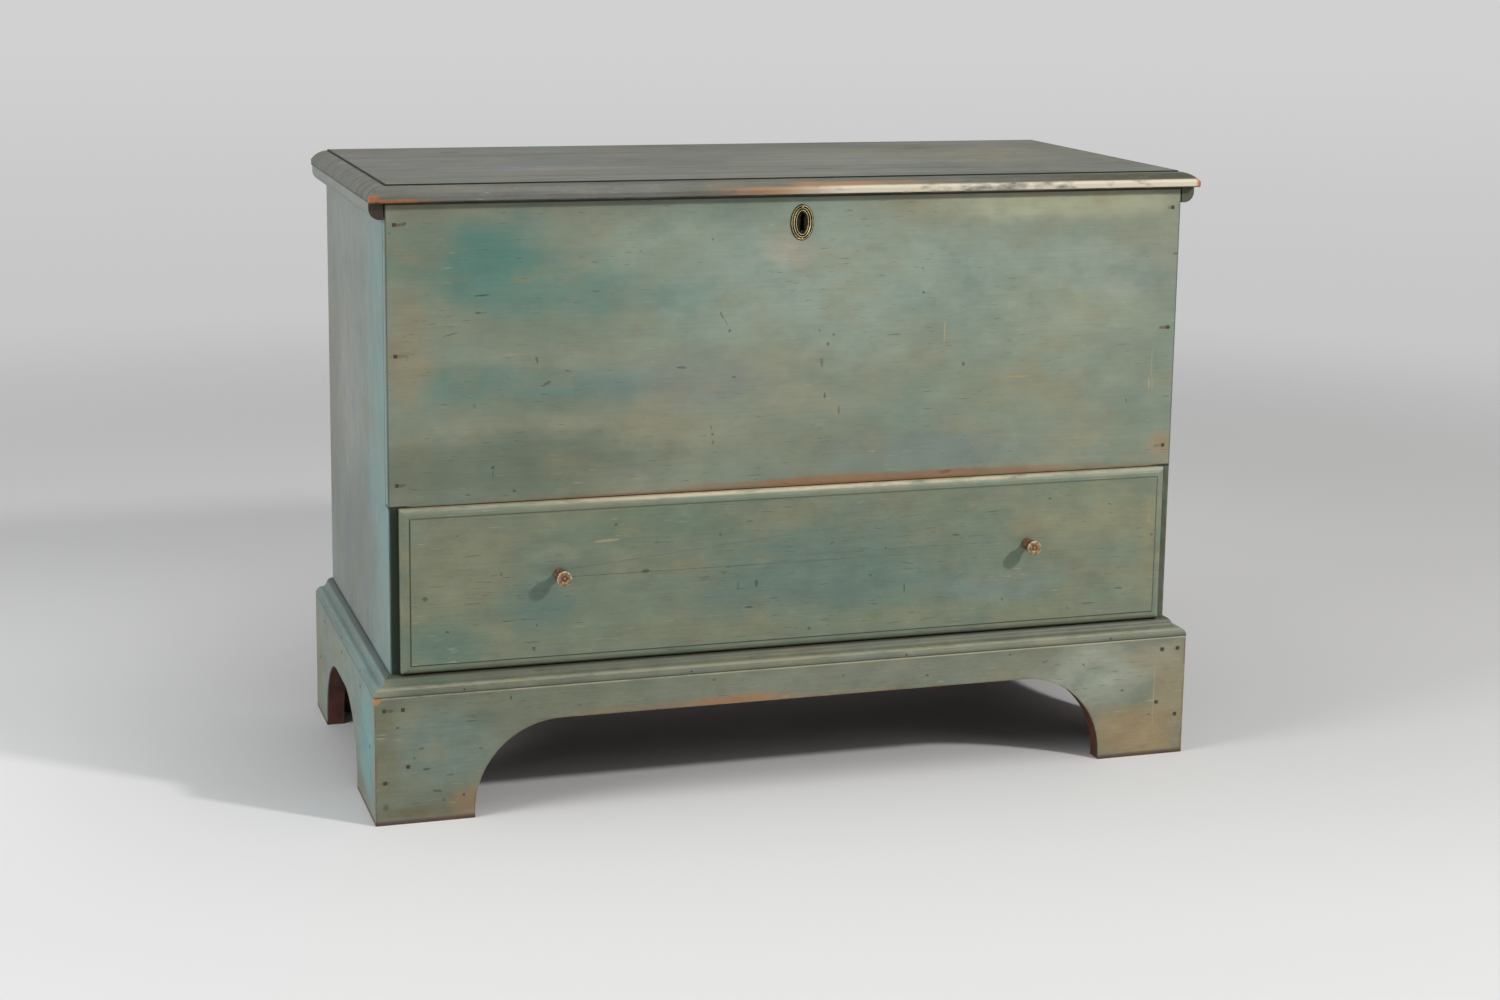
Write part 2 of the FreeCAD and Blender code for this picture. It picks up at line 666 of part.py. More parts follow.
def lock_cap(keyhole):
    """Thin box over the works, open towards the plate and the top plate."""
    wide = s.cap_width / 2
    cap = body_of("XZ", box(-wide, CAP_UNDER, wide, TOP - s.iron), CAP_FRONT, LOCK_PLATE)
    room = box(-wide + s.cap_wall, CAP_UNDER + s.cap_wall, wide - s.cap_wall, TOP - s.iron)
    carve(cap, "XZ", room, CAP_FRONT + s.cap_wall, LOCK_PLATE)
    return fit("lock_cap", cap, keyhole)


def lock_bolt():
    """Flat bolt with a notched tail under it for the key."""
    bolt = body_of("XZ", box(BOLT_END - s.bolt_length, BOLT_UNDER, BOLT_END, BOLT_TOP),
                   BOLT_FRONT, BOLT_BACK, "bolt")
    start = -s.talon_width - s.bolt_throw / 3
    talon = box(start, BOLT_UNDER - s.talon_drop, start + s.talon_width, BOLT_TOP)
    pad(bolt, "XZ", talon, BOLT_FRONT, BOLT_BACK)
    notch = ("circle", start + s.talon_width / 2, BOLT_UNDER - s.talon_drop, s.talon_notch)
    carve(bolt, "XZ", notch, BOLT_FRONT, BOLT_BACK)
    return keep("lock_bolt", bolt)


def keeper_screws():
    """Two screws up into the lid."""
    at_y = LOCK_FACE - s.selvedge_width / 2
    at_x = s.keeper_width / 2 - 2 * s.screw_head
    return keep("keeper_screws", together([screw("+Z", end * at_x, at_y, LID_UNDER)
                                           for end in (LEFT, RIGHT)]))


def lock_keeper(screws):
    """Plate let into the lid, with a staple that hangs into the lock for the bolt to enter."""
    wide = s.keeper_width / 2
    keeper = body_of("XY", box(-wide, LOCK_FACE - s.selvedge_width, wide, LOCK_FACE),
                     LID_UNDER, LID_UNDER + s.iron)
    leg = s.staple_play + s.staple_wall
    staple = box(BOLT_FRONT - leg, BOLT_UNDER - leg, BOLT_BACK + leg, LID_UNDER + s.iron)
    pad(keeper, "YZ", staple, STAPLE_START, STAPLE_START + s.staple_width)
    eye = box(BOLT_FRONT - s.staple_play, BOLT_UNDER - s.staple_play,
              BOLT_BACK + s.staple_play, BOLT_TOP + s.staple_play)
    carve(keeper, "YZ", eye, STAPLE_START, STAPLE_START + s.staple_width)
    return fit("lock_keeper", keeper, screws)


# ---------------------------------------------------------------- hinges
HINGE_X = s.hinge_inset - HALF
HINGE_START = HINGE_X - s.hinge_length / 2
KNUCKLE = s.hinge_length / KNUCKLES
LEAF_EDGE = BACK + s.barrel_gap - s.knuckle_gap


def hinge_screws(label, heading, at_y, at_z):
    """Three screws to each leaf, of both hinges."""
    inset = s.hinge_length / 6
    places = [end * (HINGE_X + step * 2 * inset) for end in (LEFT, RIGHT) for step in (-1, 0, 1)]
    return keep(label, together([screw(heading, x, at_y, at_z) for x in places]))


def hinge_leaf(label, width, low, high, owned, bore, screws):
    """Leaf of the left-hand hinge with its knuckles, between two heights."""
    leaf = body_of("XY", box(HINGE_START, BACK - width, HINGE_START + s.hinge_length, LEAF_EDGE), low, high)
    for number in owned:
        start = HINGE_START + number * KNUCKLE + s.knuckle_gap / 2
        end = start + KNUCKLE - s.knuckle_gap
        pad(leaf, "XY", box(start, LEAF_EDGE - s.iron, end, PIVOT_Y), low, high)
        pad(leaf, "YZ", ("circle", PIVOT_Y, PIVOT_Z, s.barrel_radius), start, end)
    carve(leaf, "YZ", ("circle", PIVOT_Y, PIVOT_Z, bore), HINGE_START, HINGE_START + s.hinge_length)
    whole = fit(f"{label}_left", leaf, screws)
    return whole, mirror(f"{label}_right", whole)


def hinge_pin():
    """Pin through the knuckles, held in the case leaf's."""
    pin = body_of("YZ", ("circle", PIVOT_Y, PIVOT_Z, s.pin_radius), HINGE_START,
                  HINGE_START + s.hinge_length, "pin")
    return keep("hinge_pin_left", pin), mirror("hinge_pin_right", pin)


# ---------------------------------------------------------------- case
def front_board(*seated):
    """Front of the well, lapped over the side boards' edges, with the lock's mortise."""
    board = body_of("XZ", box(-HALF, FLOOR_UNDER, HALF, TOP), FRONT, FRONT + s.front_thickness)
    wide = s.cap_width / 2
    carve(board, "XZ", box(-wide, CAP_UNDER, wide, TOP), CAP_FRONT, LOCK_FACE)
    return fit("front_board", board, *seated)


def back_boards(*seated):
    """Two boards with a lap between them, in rebates of the side boards."""
    half = OPENING_HALF + s.back_seat
    middle = BACK - s.back_thickness / 2
    upper = [(BACK_INSIDE, BACK_SEAM), (middle, BACK_SEAM), (middle, BACK_SEAM - s.back_lap),
             (BACK, BACK_SEAM - s.back_lap), (BACK, TOP), (BACK_INSIDE, TOP)]
    lower = [(BACK_INSIDE, s.case_underside), (BACK, s.case_underside),
             (BACK, BACK_SEAM - s.back_lap), (middle, BACK_SEAM - s.back_lap),
             (middle, BACK_SEAM), (BACK_INSIDE, BACK_SEAM)]
    for label, outline in (("back_board_upper", upper), ("back_board_lower", lower)):
        fit(label, body_of("YZ", outline, -half, half), *seated)


def shelf(label, front, low, thickness, *seated):
    """A board across the case, housed in both side boards."""
    half = OPENING_HALF + s.dado_depth
    board = body_of("XY", box(-half, front, half, BACK_INSIDE), low, low + thickness)
    return fit(label, board, *seated)


def side_boards(*seated):
    board = body_of("YZ", box(FRONT, s.case_underside, BACK, TOP), -HALF, -OPENING_HALF)
    mirror("side_right", fit("side_left", board, *seated))


# ---------------------------------------------------------------- bracket base
def arch(start, end, clear, sweep):
    """Opening between two feet: short uprights, a quarter round at each end and a level top."""
    spring = clear - sweep
    return [(start, 0), (start, spring), (start + sweep, clear, sweep, LEFT),
            (end - sweep, clear), (end, spring, sweep, LEFT), (end, 0)]


def base_front(*seated):
    """Front base board, mitred to its neighbours, with a sawn bracket at each end."""
    opening = BASE_HALF - s.front_foot
    outline = [(-BASE_HALF, 0)] + arch(-opening, opening, s.front_clear, s.front_sweep)
    outline += [(BASE_HALF, 0), (BASE_HALF, s.base_height), (-BASE_HALF, s.base_height)]
    board = body_of("XZ", outline, BASE_FRONT, FRONT)
    for end in (LEFT, RIGHT):
        carve(board, "XY", front_mitre(end, s.base_thickness), 0, s.base_height)
    return fit("base_front", board, *seated)


def front_mitre(end, reach):
    """Triangle behind the mitre that a front piece loses at one end."""
    return [(end * HALF, FRONT), (end * (HALF + reach), FRONT), (end * (HALF + reach), FRONT - reach)]


def side_mitre(reach):
    """Triangle before the mitre that a left-hand side piece loses."""
    return [(-HALF, FRONT), (-HALF, FRONT - reach), (-HALF - reach, FRONT - reach)]


def base_sides(*seated):
    """Side base boards with their arches."""
    fore, rear = BASE_FRONT + s.side_fore_foot, BACK - s.side_rear_foot
    outline = [(BASE_FRONT, 0)] + arch(fore, rear, s.side_clear, s.side_sweep)
    outline += [(BACK, 0), (BACK, s.base_height), (BASE_FRONT, s.base_height)]
    board = body_of("YZ", outline, -BASE_HALF, -HALF)
    carve(board, "XY", side_mitre(s.base_thickness), 0, s.base_height)
    mirror("base_right", fit("base_left", board, *seated))


def rear_brackets(*seated):
    """Plain brackets across the back of the rear feet, under the case."""
    outline = [(-HALF, 0), (-HALF + s.rear_foot, 0), (-HALF + s.rear_foot, s.rear_knee),
               (-HALF + s.rear_reach, s.case_underside - s.rear_brow),
               (-HALF + s.rear_reach, s.case_underside), (-HALF, s.case_underside)]
    bracket = body_of("XZ", outline, BACK - s.rear_thickness, BACK)
    mirror("rear_bracket_right", fit("rear_bracket_left", bracket, *seated))


def foot_blocks(*seated):
    """Upright blocks in the corners of the base, which carry the case."""
    for name, y in (("front", FRONT), ("rear", BACK - s.rear_thickness - s.block_side)):
        section = box(-HALF, y, -HALF + s.block_side, y + s.block_side)
        block = body_of("XY", section, s.block_lift, s.case_underside)
        whole = fit(f"foot_block_{name}_left", block, *seated)
        mirror(f"foot_block_{name}_right", whole)


def glue_blocks():
    """Blocks in the angle between the front apron and the case bottom."""
    high = BOTTOM_TOP - s.bottom_thickness
    blocks = []
    for middle in rows(-HALF + s.glue_block_inset, HALF - s.glue_block_inset, GLUE_BLOCKS):
        section = box(middle - s.glue_block_length / 2, FRONT,
                      middle + s.glue_block_length / 2, FRONT + s.glue_block_side)
        blocks.append(body_of("XY", section, high - s.glue_block_side, high))
    keep("glue_blocks", together(blocks))


def moulding_outline(outwards, wall):
    """Section of the base moulding: ovolo, cove, flat and ovolo down to the base board's face."""
    low, high = s.base_height, BOTTOM_TOP

    def at(out, height, *arc):
        return (wall + outwards * out, height, *arc)

    ovolo_out = s.moulding_land + s.ovolo_width
    cove_out = ovolo_out + s.cove_width
    round_out = cove_out + s.fillet_width
    cove_top = high - s.ovolo_drop
    round_top = cove_top - s.cove_drop
    last = s.base_thickness - round_out
    return [at(0, low), at(0, high), at(s.moulding_land, high),
            at(ovolo_out, cove_top, s.ovolo_width * BOW, outwards * LEFT),
            at(cove_out, round_top, s.cove_width * BOW, outwards * RIGHT),
            at(round_out, round_top),
            at(s.base_thickness, low + s.moulding_foot, last * BOW, outwards * LEFT),
            at(s.base_thickness, low)]


def mouldings(*seated):
    """Base moulding on three sides, mitred at the front corners."""
    front = body_of("YZ", moulding_outline(LEFT, FRONT), -BASE_HALF, BASE_HALF)
    for end in (LEFT, RIGHT):
        carve(front, "XY", front_mitre(end, s.base_thickness), s.base_height, BOTTOM_TOP)
    fit("moulding_front", front, *seated)
    side = body_of("XZ", moulding_outline(LEFT, -HALF), BASE_FRONT, BACK)
    carve(side, "XY", side_mitre(s.base_thickness), s.base_height, BOTTOM_TOP)
    mirror("moulding_right", fit("moulding_left", side, *seated))


# ---------------------------------------------------------------- lid
def thumbnail(outwards, edge, border, face, step, fall, upwards):
    """What a thumbnail edge takes off a board: a small step, then a round down to the nose."""
    inner = edge - outwards * border
    shoulder = face - upwards * step
    radius = (border * border + fall * fall) / (2 * fall)
    side = outwards * upwards * LEFT
    beyond, above = edge + outwards * step, face + upwards * step
    return [(inner, above), (inner, shoulder), (edge, shoulder - upwards * fall, radius, side),
            (beyond, shoulder - upwards * fall), (beyond, above)]


def lid_board(*seated):
    """Single wide board, thumbnail-moulded in front and at both ends."""
    board = body_of("XY", box(-LID_HALF, LID_FRONT, LID_HALF, BACK), LID_UNDER, LID_TOP)
    edge = (s.lid_border, LID_TOP, s.lid_step, s.lid_drop, 1)
    carve(board, "YZ", thumbnail(LEFT, LID_FRONT, *edge), -LID_HALF - s.lid_step, LID_HALF + s.lid_step)
    for end in (LEFT, RIGHT):
        carve(board, "XZ", thumbnail(end, end * LID_HALF, *edge), LID_FRONT - s.lid_step, BACK)
    carve(board, "YZ", nose_under(), -LID_HALF - s.lid_step, LID_HALF + s.lid_step)
    return fit("lid_board", board, *seated)


def nose_under():
    """What the small round under the lid's front edge takes off."""
    inner, outer = LID_FRONT + s.lid_under, LID_FRONT - s.lid_under
    high, low = LID_UNDER + s.lid_under, LID_UNDER - s.lid_under
    return [(inner, LID_UNDER), (LID_FRONT, high, s.lid_under, LEFT), (outer, high),
            (outer, low), (inner, low)]


def cleats(*seated):
    """End cleats that clasp the case when the lid is shut."""
    inner = -HALF - s.cleat_play
    outer = inner - s.cleat_thickness
    low = LID_UNDER - s.cleat_height
    outline = [(inner, LID_UNDER), (outer, LID_UNDER), (outer, low + s.cleat_round),
               (outer + s.cleat_round, low, s.cleat_round, RIGHT), (inner, low)]
    cleat = body_of("XZ", outline, FRONT, BACK - s.cleat_setback)
    mirror("lid_cleat_right", fit("lid_cleat_left", cleat, *seated))


# ---------------------------------------------------------------- drawer
def tails(at_root, at_end, low, high):
    """Corners of a drawer side's dovetails, from its lower edge to its upper edge."""
    corners = []
    pitch = (high - low) / TAILS
    for i in range(TAILS):
        middle = low + pitch * (i + 1 / 2)
        root = (pitch - s.pin_width) / 2
        flare = root + s.tail_flare
        corners += [(at_root, middle - root), (at_end, middle - flare),
                    (at_end, middle + flare), (at_root, middle + root)]
    return corners


def drawer_sides(bottom):
    """Drawer sides, dovetailed at both ends and grooved for the bottom."""
    low, high = DRAWER_UNDER, DRAWER_SIDE_TOP
    rear = DRAWER_REAR - s.drawer_back_thickness
    outline = [(DRAWER_INSIDE, low), (rear, low)] + tails(rear, DRAWER_REAR, low, high)
    outline += [(rear, high), (DRAWER_INSIDE, high)]
    outline += tails(DRAWER_INSIDE, LIP_BACK, low, high)[::-1]
    side = body_of("YZ", outline, -DRAWER_HALF, -DRAWER_HALF + s.drawer_side_thickness)
    left = fit("drawer_side_left", side, bottom)
    return left, mirror("drawer_side_right", left)


def drawer_bottom(nails):
    """Bottom board, its edges thinned to a tongue that enters the front and the sides."""
    half = DRAWER_HALF - s.drawer_side_thickness
    low = DRAWER_UNDER + s.drawer_bottom_lift
    high = low + s.drawer_bottom_thickness
    board = body_of("XY", box(-half, DRAWER_INSIDE, half, DRAWER_REAR), low, high)
    pad(board, "XY", box(-half - s.tongue, DRAWER_INSIDE - s.tongue, half + s.tongue, DRAWER_REAR),
        high - s.tongue, high)
    return fit("drawer_bottom", board, nails)


def drawer_back(*seated):
    """Drawer back, standing on the bottom board."""
    low = DRAWER_UNDER + s.drawer_bottom_lift + s.drawer_bottom_thickness
    board = body_of("XZ", box(-DRAWER_HALF, low, DRAWER_HALF, DRAWER_SIDE_TOP),
                    DRAWER_REAR - s.drawer_back_thickness, DRAWER_REAR)
    return fit("drawer_back", board, *seated)


def flipped(outline):
    """The same outline with its two axes exchanged, which turns its arcs' sides round."""
    return [(corner[1], corner[0], *corner[2:3], *(-side for side in corner[3:])) for corner in outline]


def drawer_front(*seated):
    """Lipped drawer front with a thumbnail edge all round."""
    half, low, high = OPENING_HALF + s.lip_lap, DRAWER_UNDER, DRAWER_TOP
    board = body_of("XZ", box(-half, low, half, high), LIP_FACE, LIP_BACK)
    edge = (s.drawer_border, LIP_FACE, s.drawer_step, s.drawer_fall, -1)
    for end in (LEFT, RIGHT):
        carve(board, "XY", thumbnail(end, end * half, *edge), low, high)
    for outwards, rim in ((LEFT, low), (RIGHT, high)):
        carve(board, "YZ", flipped(thumbnail(outwards, rim, *edge)), -half, half)
    pad(board, "XZ", box(-DRAWER_HALF, low, DRAWER_HALF, high), LIP_BACK, DRAWER_INSIDE)
    return fit("drawer_front", board, *seated)


def knobs():
    """Two turned knobs, each with a foot, a neck, a drum head and a tenon through the drawer."""
    head_start = -s.knob_length + s.knob_head
    profile = [(0, -s.knob_length), (s.knob_radius - s.knob_rim, -s.knob_length),
               (s.knob_radius, -s.knob_length + s.knob_rim, s.knob_rim, RIGHT),
               (s.knob_radius, head_start - s.knob_shoulder),
               (s.knob_waist, head_start + s.knob_shoulder),
               (s.knob_waist, -2 * s.knob_foot_length),
               (s.knob_foot, -s.knob_foot_length), (s.knob_foot, 0),
               (s.knob_tenon, 0), (s.knob_tenon, s.drawer_front_thickness),
               (0, s.drawer_front_thickness)]
    height = (DRAWER_UNDER + DRAWER_TOP) / 2 + s.knob_lift
    made = []
    for label, end in (("knob_left", LEFT), ("knob_right", RIGHT)):
        knob = turned(profile)
        bind_base(knob, end * (HALF - s.knob_inset), LIP_FACE, height)
        made.append(keep(label, knob))
    return made


# ---------------------------------------------------------------- putting it together
def build():
    front_nails = nail_front_board()
    base_nails = nail_base_front()
    side_nails = nail_base_sides()
    brads = brad_mouldings()
    back_nails = nail_back_boards()
    keyhole = keyhole_plug()
    pins = escutcheon_pins()
    escutcheon(keyhole, pins)
    plate = lock_plate(lock_screws())
    lock_cap(keyhole)
    lock_bolt()
    keeper = lock_keeper(keeper_screws())
    case_screws = hinge_screws("hinge_case_screws", "-Z", BACK - s.case_leaf / 2, TOP)
    lid_screws = hinge_screws("hinge_lid_screws", "+Z", BACK - s.lid_leaf / 2, LID_UNDER)
    case_leaves = hinge_leaf("hinge_case_leaf", s.case_leaf, TOP - s.iron, TOP,
                             range(0, KNUCKLES, 2), s.pin_radius, case_screws)
    lid_leaves = hinge_leaf("hinge_lid_leaf", s.lid_leaf, LID_UNDER, LID_UNDER + s.iron,
                            range(1, KNUCKLES, 2), s.pin_radius + s.pin_play, lid_screws)
    hinge_pin()
    lock_fastenings = [plate, parts["lock_screws"], keyhole, pins]
    front = front_board(front_nails, *lock_fastenings)
    back_boards(back_nails, case_screws, *case_leaves)
    well = shelf("well_floor", FRONT + s.front_thickness, FLOOR_UNDER, s.floor_thickness, back_nails)
    bottom = shelf("case_bottom", FRONT, BOTTOM_TOP - s.bottom_thickness, s.bottom_thickness,
                   back_nails, brads)
    backs = [parts["back_board_upper"], parts["back_board_lower"]]
    side_boards(front, well, bottom, *backs, front_nails, base_nails, side_nails, brads, back_nails)
    base_front(base_nails)
    base_sides(base_nails, side_nails)
    rear_brackets(side_nails)
    foot_blocks(base_nails, side_nails)
    glue_blocks()
    mouldings(brads)
    cleat_nails = nail_cleats()
    lid_board(keeper, parts["keeper_screws"], *lid_leaves, lid_screws, cleat_nails)
    cleats(cleat_nails)
    drawer_nails = nail_drawer_bottom()
    drawer_floor = drawer_bottom(drawer_nails)
    sides = drawer_sides(drawer_floor)
    drawer_back(*sides, drawer_nails)
    drawer_front(*sides, drawer_floor, *knobs())


def check_and_write():
    """Stops if anything failed to build, then writes one file to each sub-part."""
    doc.recompute()
    for thing in doc.Objects:
        if "Invalid" in thing.State or "Error" in thing.State:
            raise RuntimeError(f"{thing.Name} ({thing.Label}) did not build: {thing.State}")
    for label, thing in parts.items():
        if thing.Shape.isNull() or not thing.Shape.isValid():
            raise RuntimeError(f"{label} has no sound shape")
    os.makedirs("parts", exist_ok=True)
    for label, thing in parts.items():
        thing.Shape.exportStep(f"parts/{label}.step")
    print(f"{len(parts)} sub-parts")


build()
check_and_write()
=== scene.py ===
"""Looks of the lift-top mule chest: worn blue-green paint over pine, brass, iron and a pale studio."""

import bmesh
import bpy
import math
from mathutils import Matrix, Vector, noise


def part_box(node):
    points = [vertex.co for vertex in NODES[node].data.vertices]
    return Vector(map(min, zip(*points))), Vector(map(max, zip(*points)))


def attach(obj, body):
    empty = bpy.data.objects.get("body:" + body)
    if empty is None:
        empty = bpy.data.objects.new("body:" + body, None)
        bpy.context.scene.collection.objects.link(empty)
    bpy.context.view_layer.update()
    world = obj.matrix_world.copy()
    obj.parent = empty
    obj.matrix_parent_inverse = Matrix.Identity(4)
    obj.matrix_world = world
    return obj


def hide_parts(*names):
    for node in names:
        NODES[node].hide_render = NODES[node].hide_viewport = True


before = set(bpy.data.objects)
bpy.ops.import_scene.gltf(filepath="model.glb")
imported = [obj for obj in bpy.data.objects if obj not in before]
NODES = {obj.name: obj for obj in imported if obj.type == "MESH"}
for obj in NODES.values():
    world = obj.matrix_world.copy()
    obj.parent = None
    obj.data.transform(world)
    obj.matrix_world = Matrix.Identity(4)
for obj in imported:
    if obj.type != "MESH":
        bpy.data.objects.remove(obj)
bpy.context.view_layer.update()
MM = 0.001

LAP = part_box("front_board")  # the front board lies over the side boards' front edges
FRONT, LAP_BACK, LAP_LOW = LAP[0].y, LAP[1].y, LAP[0].z
CASE_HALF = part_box("side_right")[1].x
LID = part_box("lid_board")
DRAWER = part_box("drawer_front")
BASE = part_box("base_front")
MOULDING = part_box("moulding_front")
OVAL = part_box("escutcheon")
OVAL_MIDDLE = (OVAL[0] + OVAL[1]) / 2
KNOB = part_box("knob_right")
KNOB_MIDDLE = (KNOB[0] + KNOB[1]) / 2
KNOB_FACE = KNOB[0].y


# ------------ node trees as formulas
def tone(red, green, blue):
    """A colour as it is seen, 0 to 255, turned into the linear colour that shaders use."""
    def linear(level):
        level /= 255
        return level / 12.92 if level <= 0.04045 else ((level + 0.055) / 1.055) ** 2.4
    return (linear(red), linear(green), linear(blue), 1)


class Wire:
    """A value in a node tree. Sums of wires turn into nodes, so that a material reads as formulas."""

    def __init__(self, net, socket):
        self.net, self.socket = net, socket

    def __add__(self, other):
        return self.net.sum("ADD", self, other)

    def __sub__(self, other):
        return self.net.sum("SUBTRACT", self, other)

    def __mul__(self, other):
        return self.net.sum("MULTIPLY", self, other)

    def __rsub__(self, other):
        return self.net.sum("SUBTRACT", other, self)

    __radd__ = __add__
    __rmul__ = __mul__

    def size(self):
        return self.net.sum("ABSOLUTE", self)

    def most(self, other):
        return self.net.sum("MAXIMUM", self, other)

    def least(self, other):
        return self.net.sum("MINIMUM", self, other)


class Net:
    """A node tree that is built from wires and plain values."""

    def __init__(self, tree):
        self.tree = tree
        tree.nodes.clear()

    def add(self, kind, **settings):
        made = self.tree.nodes.new(kind)
        for name, value in settings.items():
            setattr(made, name, value)
        return made

    def feed(self, socket, value):
        """Links a wire to an input, or sets the input to a plain value."""
        if isinstance(value, Wire):
            self.tree.links.new(value.socket, socket)
        else:
            socket.default_value = value[:3] if socket.type == "VECTOR" else value

    def node(self, kind, *values, **settings):
        """A node's first output; values go to its inputs in their order."""
        made = self.add(kind, **settings)
        for socket, value in zip(made.inputs, values):
            self.feed(socket, value)
        return Wire(self, made.outputs[0])

    def wire(self, kind, output, settings=None, **inputs):
        """Any output of a node; inputs go by their names."""
        made = self.add(kind, **(settings or {}))
        for name, value in inputs.items():
            self.feed(made.inputs[name.replace("_", " ")], value)
        return Wire(self, made.outputs[output])

    def split(self, vector):
        apart = self.add("ShaderNodeSeparateXYZ")
        self.feed(apart.inputs[0], vector)
        return [Wire(self, socket) for socket in apart.outputs]

    def sum(self, operation, *values):
        return self.node("ShaderNodeMath", *values, operation=operation)

    def far(self, *ways):
        """The length of a line that goes so far along each axis."""
        total = ways[0] * ways[0]
        for way in ways[1:]:
            total = total + way * way
        return self.sum("SQRT", total)

    def ramp(self, value, start, end, low=0, high=1):
        """Goes smoothly from low to high as value goes from start to end."""
        return self.node("ShaderNodeMapRange", value, start, end, low, high,
                         interpolation_type="SMOOTHSTEP")

    def past(self, value, edge, start, end, low=0, high=1):
        """The same as value goes from start to end past an edge; both in millimetres."""
        return self.ramp(value, edge + start * MM, edge + end * MM, low, high)

    def band(self, off, reach, core):
        """1 where off is within core of 0, fading to 0 at reach; both in millimetres."""
        return self.ramp(off.size(), reach * MM, core * MM)

    def seen(self):
        """1 for a ray that looks at the studio itself, straight or in a shiny surface."""
        path = self.add("ShaderNodeLightPath")
        kinds = ("Is Camera Ray", "Is Glossy Ray", "Is Transmission Ray")
        camera, glossy, through = (Wire(self, path.outputs[kind]) for kind in kinds)
        return (camera + glossy + through).least(1)

    def stops(self, value, levels):
        """A grey that eases from level to level; levels are (value, grey as seen)."""
        made = self.add("ShaderNodeValToRGB")
        made.color_ramp.interpolation = "EASE"
        points = made.color_ramp.elements
        while len(points) < len(levels):
            points.new(0.5)
        for point, (place, level) in zip(points, levels):
            point.position = place
            point.color = tone(level, level, level)
        self.feed(made.inputs[0], value)
        return Wire(self, made.outputs[0])

    def mix(self, amount, first, second):
        """From the first colour to the second; each is a wire, or red, green and blue as seen."""
        made = self.add("ShaderNodeMix", data_type="RGBA")
        made.clamp_factor = True
        self.feed(made.inputs[0], amount)
        for socket, colour in ((made.inputs[6], first), (made.inputs[7], second)):
            self.feed(socket, colour if isinstance(colour, Wire) else tone(*colour))
        return Wire(self, made.outputs[2])

    def shaded(self, colour, amount):
        """The colour made darker or lighter by a factor round 1."""
        return self.wire("ShaderNodeVectorMath", 0, {"operation": "SCALE"}, Vector=colour, Scale=amount)


class Coat(Net):
    """The node tree of one material."""

    def __init__(self, name):
        self.material = bpy.data.materials.new(name)
        self.material.use_nodes = True
        super().__init__(self.material.node_tree)
        self.shader = self.add("ShaderNodeBsdfPrincipled")
        self.out = self.add("ShaderNodeOutputMaterial")
        self.tree.links.new(self.shader.outputs["BSDF"], self.out.inputs["Surface"])
        self.place = self.wire("ShaderNodeTexCoord", "Object")
        self.x, self.y, self.z = self.split(self.place)

    def scaled(self, by):
        return self.node("ShaderNodeVectorMath", self.place, by, operation="MULTIPLY")

    def noise(self, by, detail, rough, seed):
        """Noise from 0 to 1; by gives how many waves a metre holds along each axis."""
        return self.wire("ShaderNodeTexNoise", 0, {"noise_dimensions": "4D"}, Vector=self.scaled(by),
                         W=seed, Scale=1, Detail=detail, Roughness=rough)

    def cells(self, by, seed):
        """Distance to the nearest of scattered points, and a number that differs from point to point."""
        made = self.add("ShaderNodeTexVoronoi", voronoi_dimensions="4D")
        for name, value in (("Vector", self.scaled(by)), ("W", seed), ("Scale", 1)):
            self.feed(made.inputs[name], value)
        return Wire(self, made.outputs["Distance"]), self.split(Wire(self, made.outputs["Color"]))[0]

    def edge(self, reach, samples=6):
        """0 on a flat face, up to about 0.3 on an edge, within reach of it."""
        rounded = self.wire("ShaderNodeBevel", 0, {"samples": samples}, Radius=reach)
        normal = self.wire("ShaderNodeNewGeometry", "Normal")
        dot = self.add("ShaderNodeVectorMath", operation="DOT_PRODUCT")
        self.feed(dot.inputs[0], rounded)
        self.feed(dot.inputs[1], normal)
        return 1 - Wire(self, dot.outputs["Value"])

    def crevice(self, reach, samples=6):
        """1 in the open, towards 0 in a corner or groove narrower than reach."""
        return self.wire("ShaderNodeAmbientOcclusion", "AO", {"samples": samples}, Distance=reach)

    def bump(self, height, depth):
        """Lays a relief on the shader; height runs round 0 to 1 and depth is its size in metres."""
        relief = self.wire("ShaderNodeBump", 0, Distance=depth, Strength=1, Height=height)
        self.feed(self.shader.inputs["Normal"], relief)

    def finish(self, colour, rough, **others):
        """Feeds the shader and gives the material."""
        for name, value in (("Base Color", colour), ("Roughness", rough), *others.items()):
            self.feed(self.shader.inputs[name.replace("_", " ")], value)
        return self.material


# ------------ wood and paint
ALONG = {"x": 0, "y": 1, "z": 2}


def stretched(grain, along, across):
    """Waves per metre for a pattern drawn out along the grain."""
    by = [across] * 3
    by[ALONG[grain]] = along
    return tuple(by)


def pine(net, grain, light, dark, age=1.0):
    """Bare old pine: growth bands, fine grain, and grime in patches. No two boards are alike."""
    board = net.wire("ShaderNodeObjectInfo", "Random") * 40
    wander = net.noise(stretched(grain, 0.9, 5), 2, 0.5, board + 3.1)
    band = net.noise(stretched(grain, 1.3, 46), 3, 0.55, board + 7.7)
    fine = net.noise(stretched(grain, 9, 420), 3, 0.6, board + 1.3)
    soil = net.noise((5, 5, 5), 4, 0.6, 5.9)
    colour = net.mix(net.ramp(band + wander * 0.35, 0.45, 0.85), light, dark)
    colour = net.shaded(colour, 0.76 + fine * 0.48)
    streak = net.noise(stretched(grain, 3, 190), 2, 0.5, board + 9.2)
    colour = net.mix(net.ramp(streak, 0.62, 0.74) * 0.45, colour, (92, 62, 36))
    colour = net.mix(net.ramp(soil, 0.42, 0.75) * (0.5 * age), colour, (86, 64, 42))
    return colour, fine * 0.5 + band * 0.5


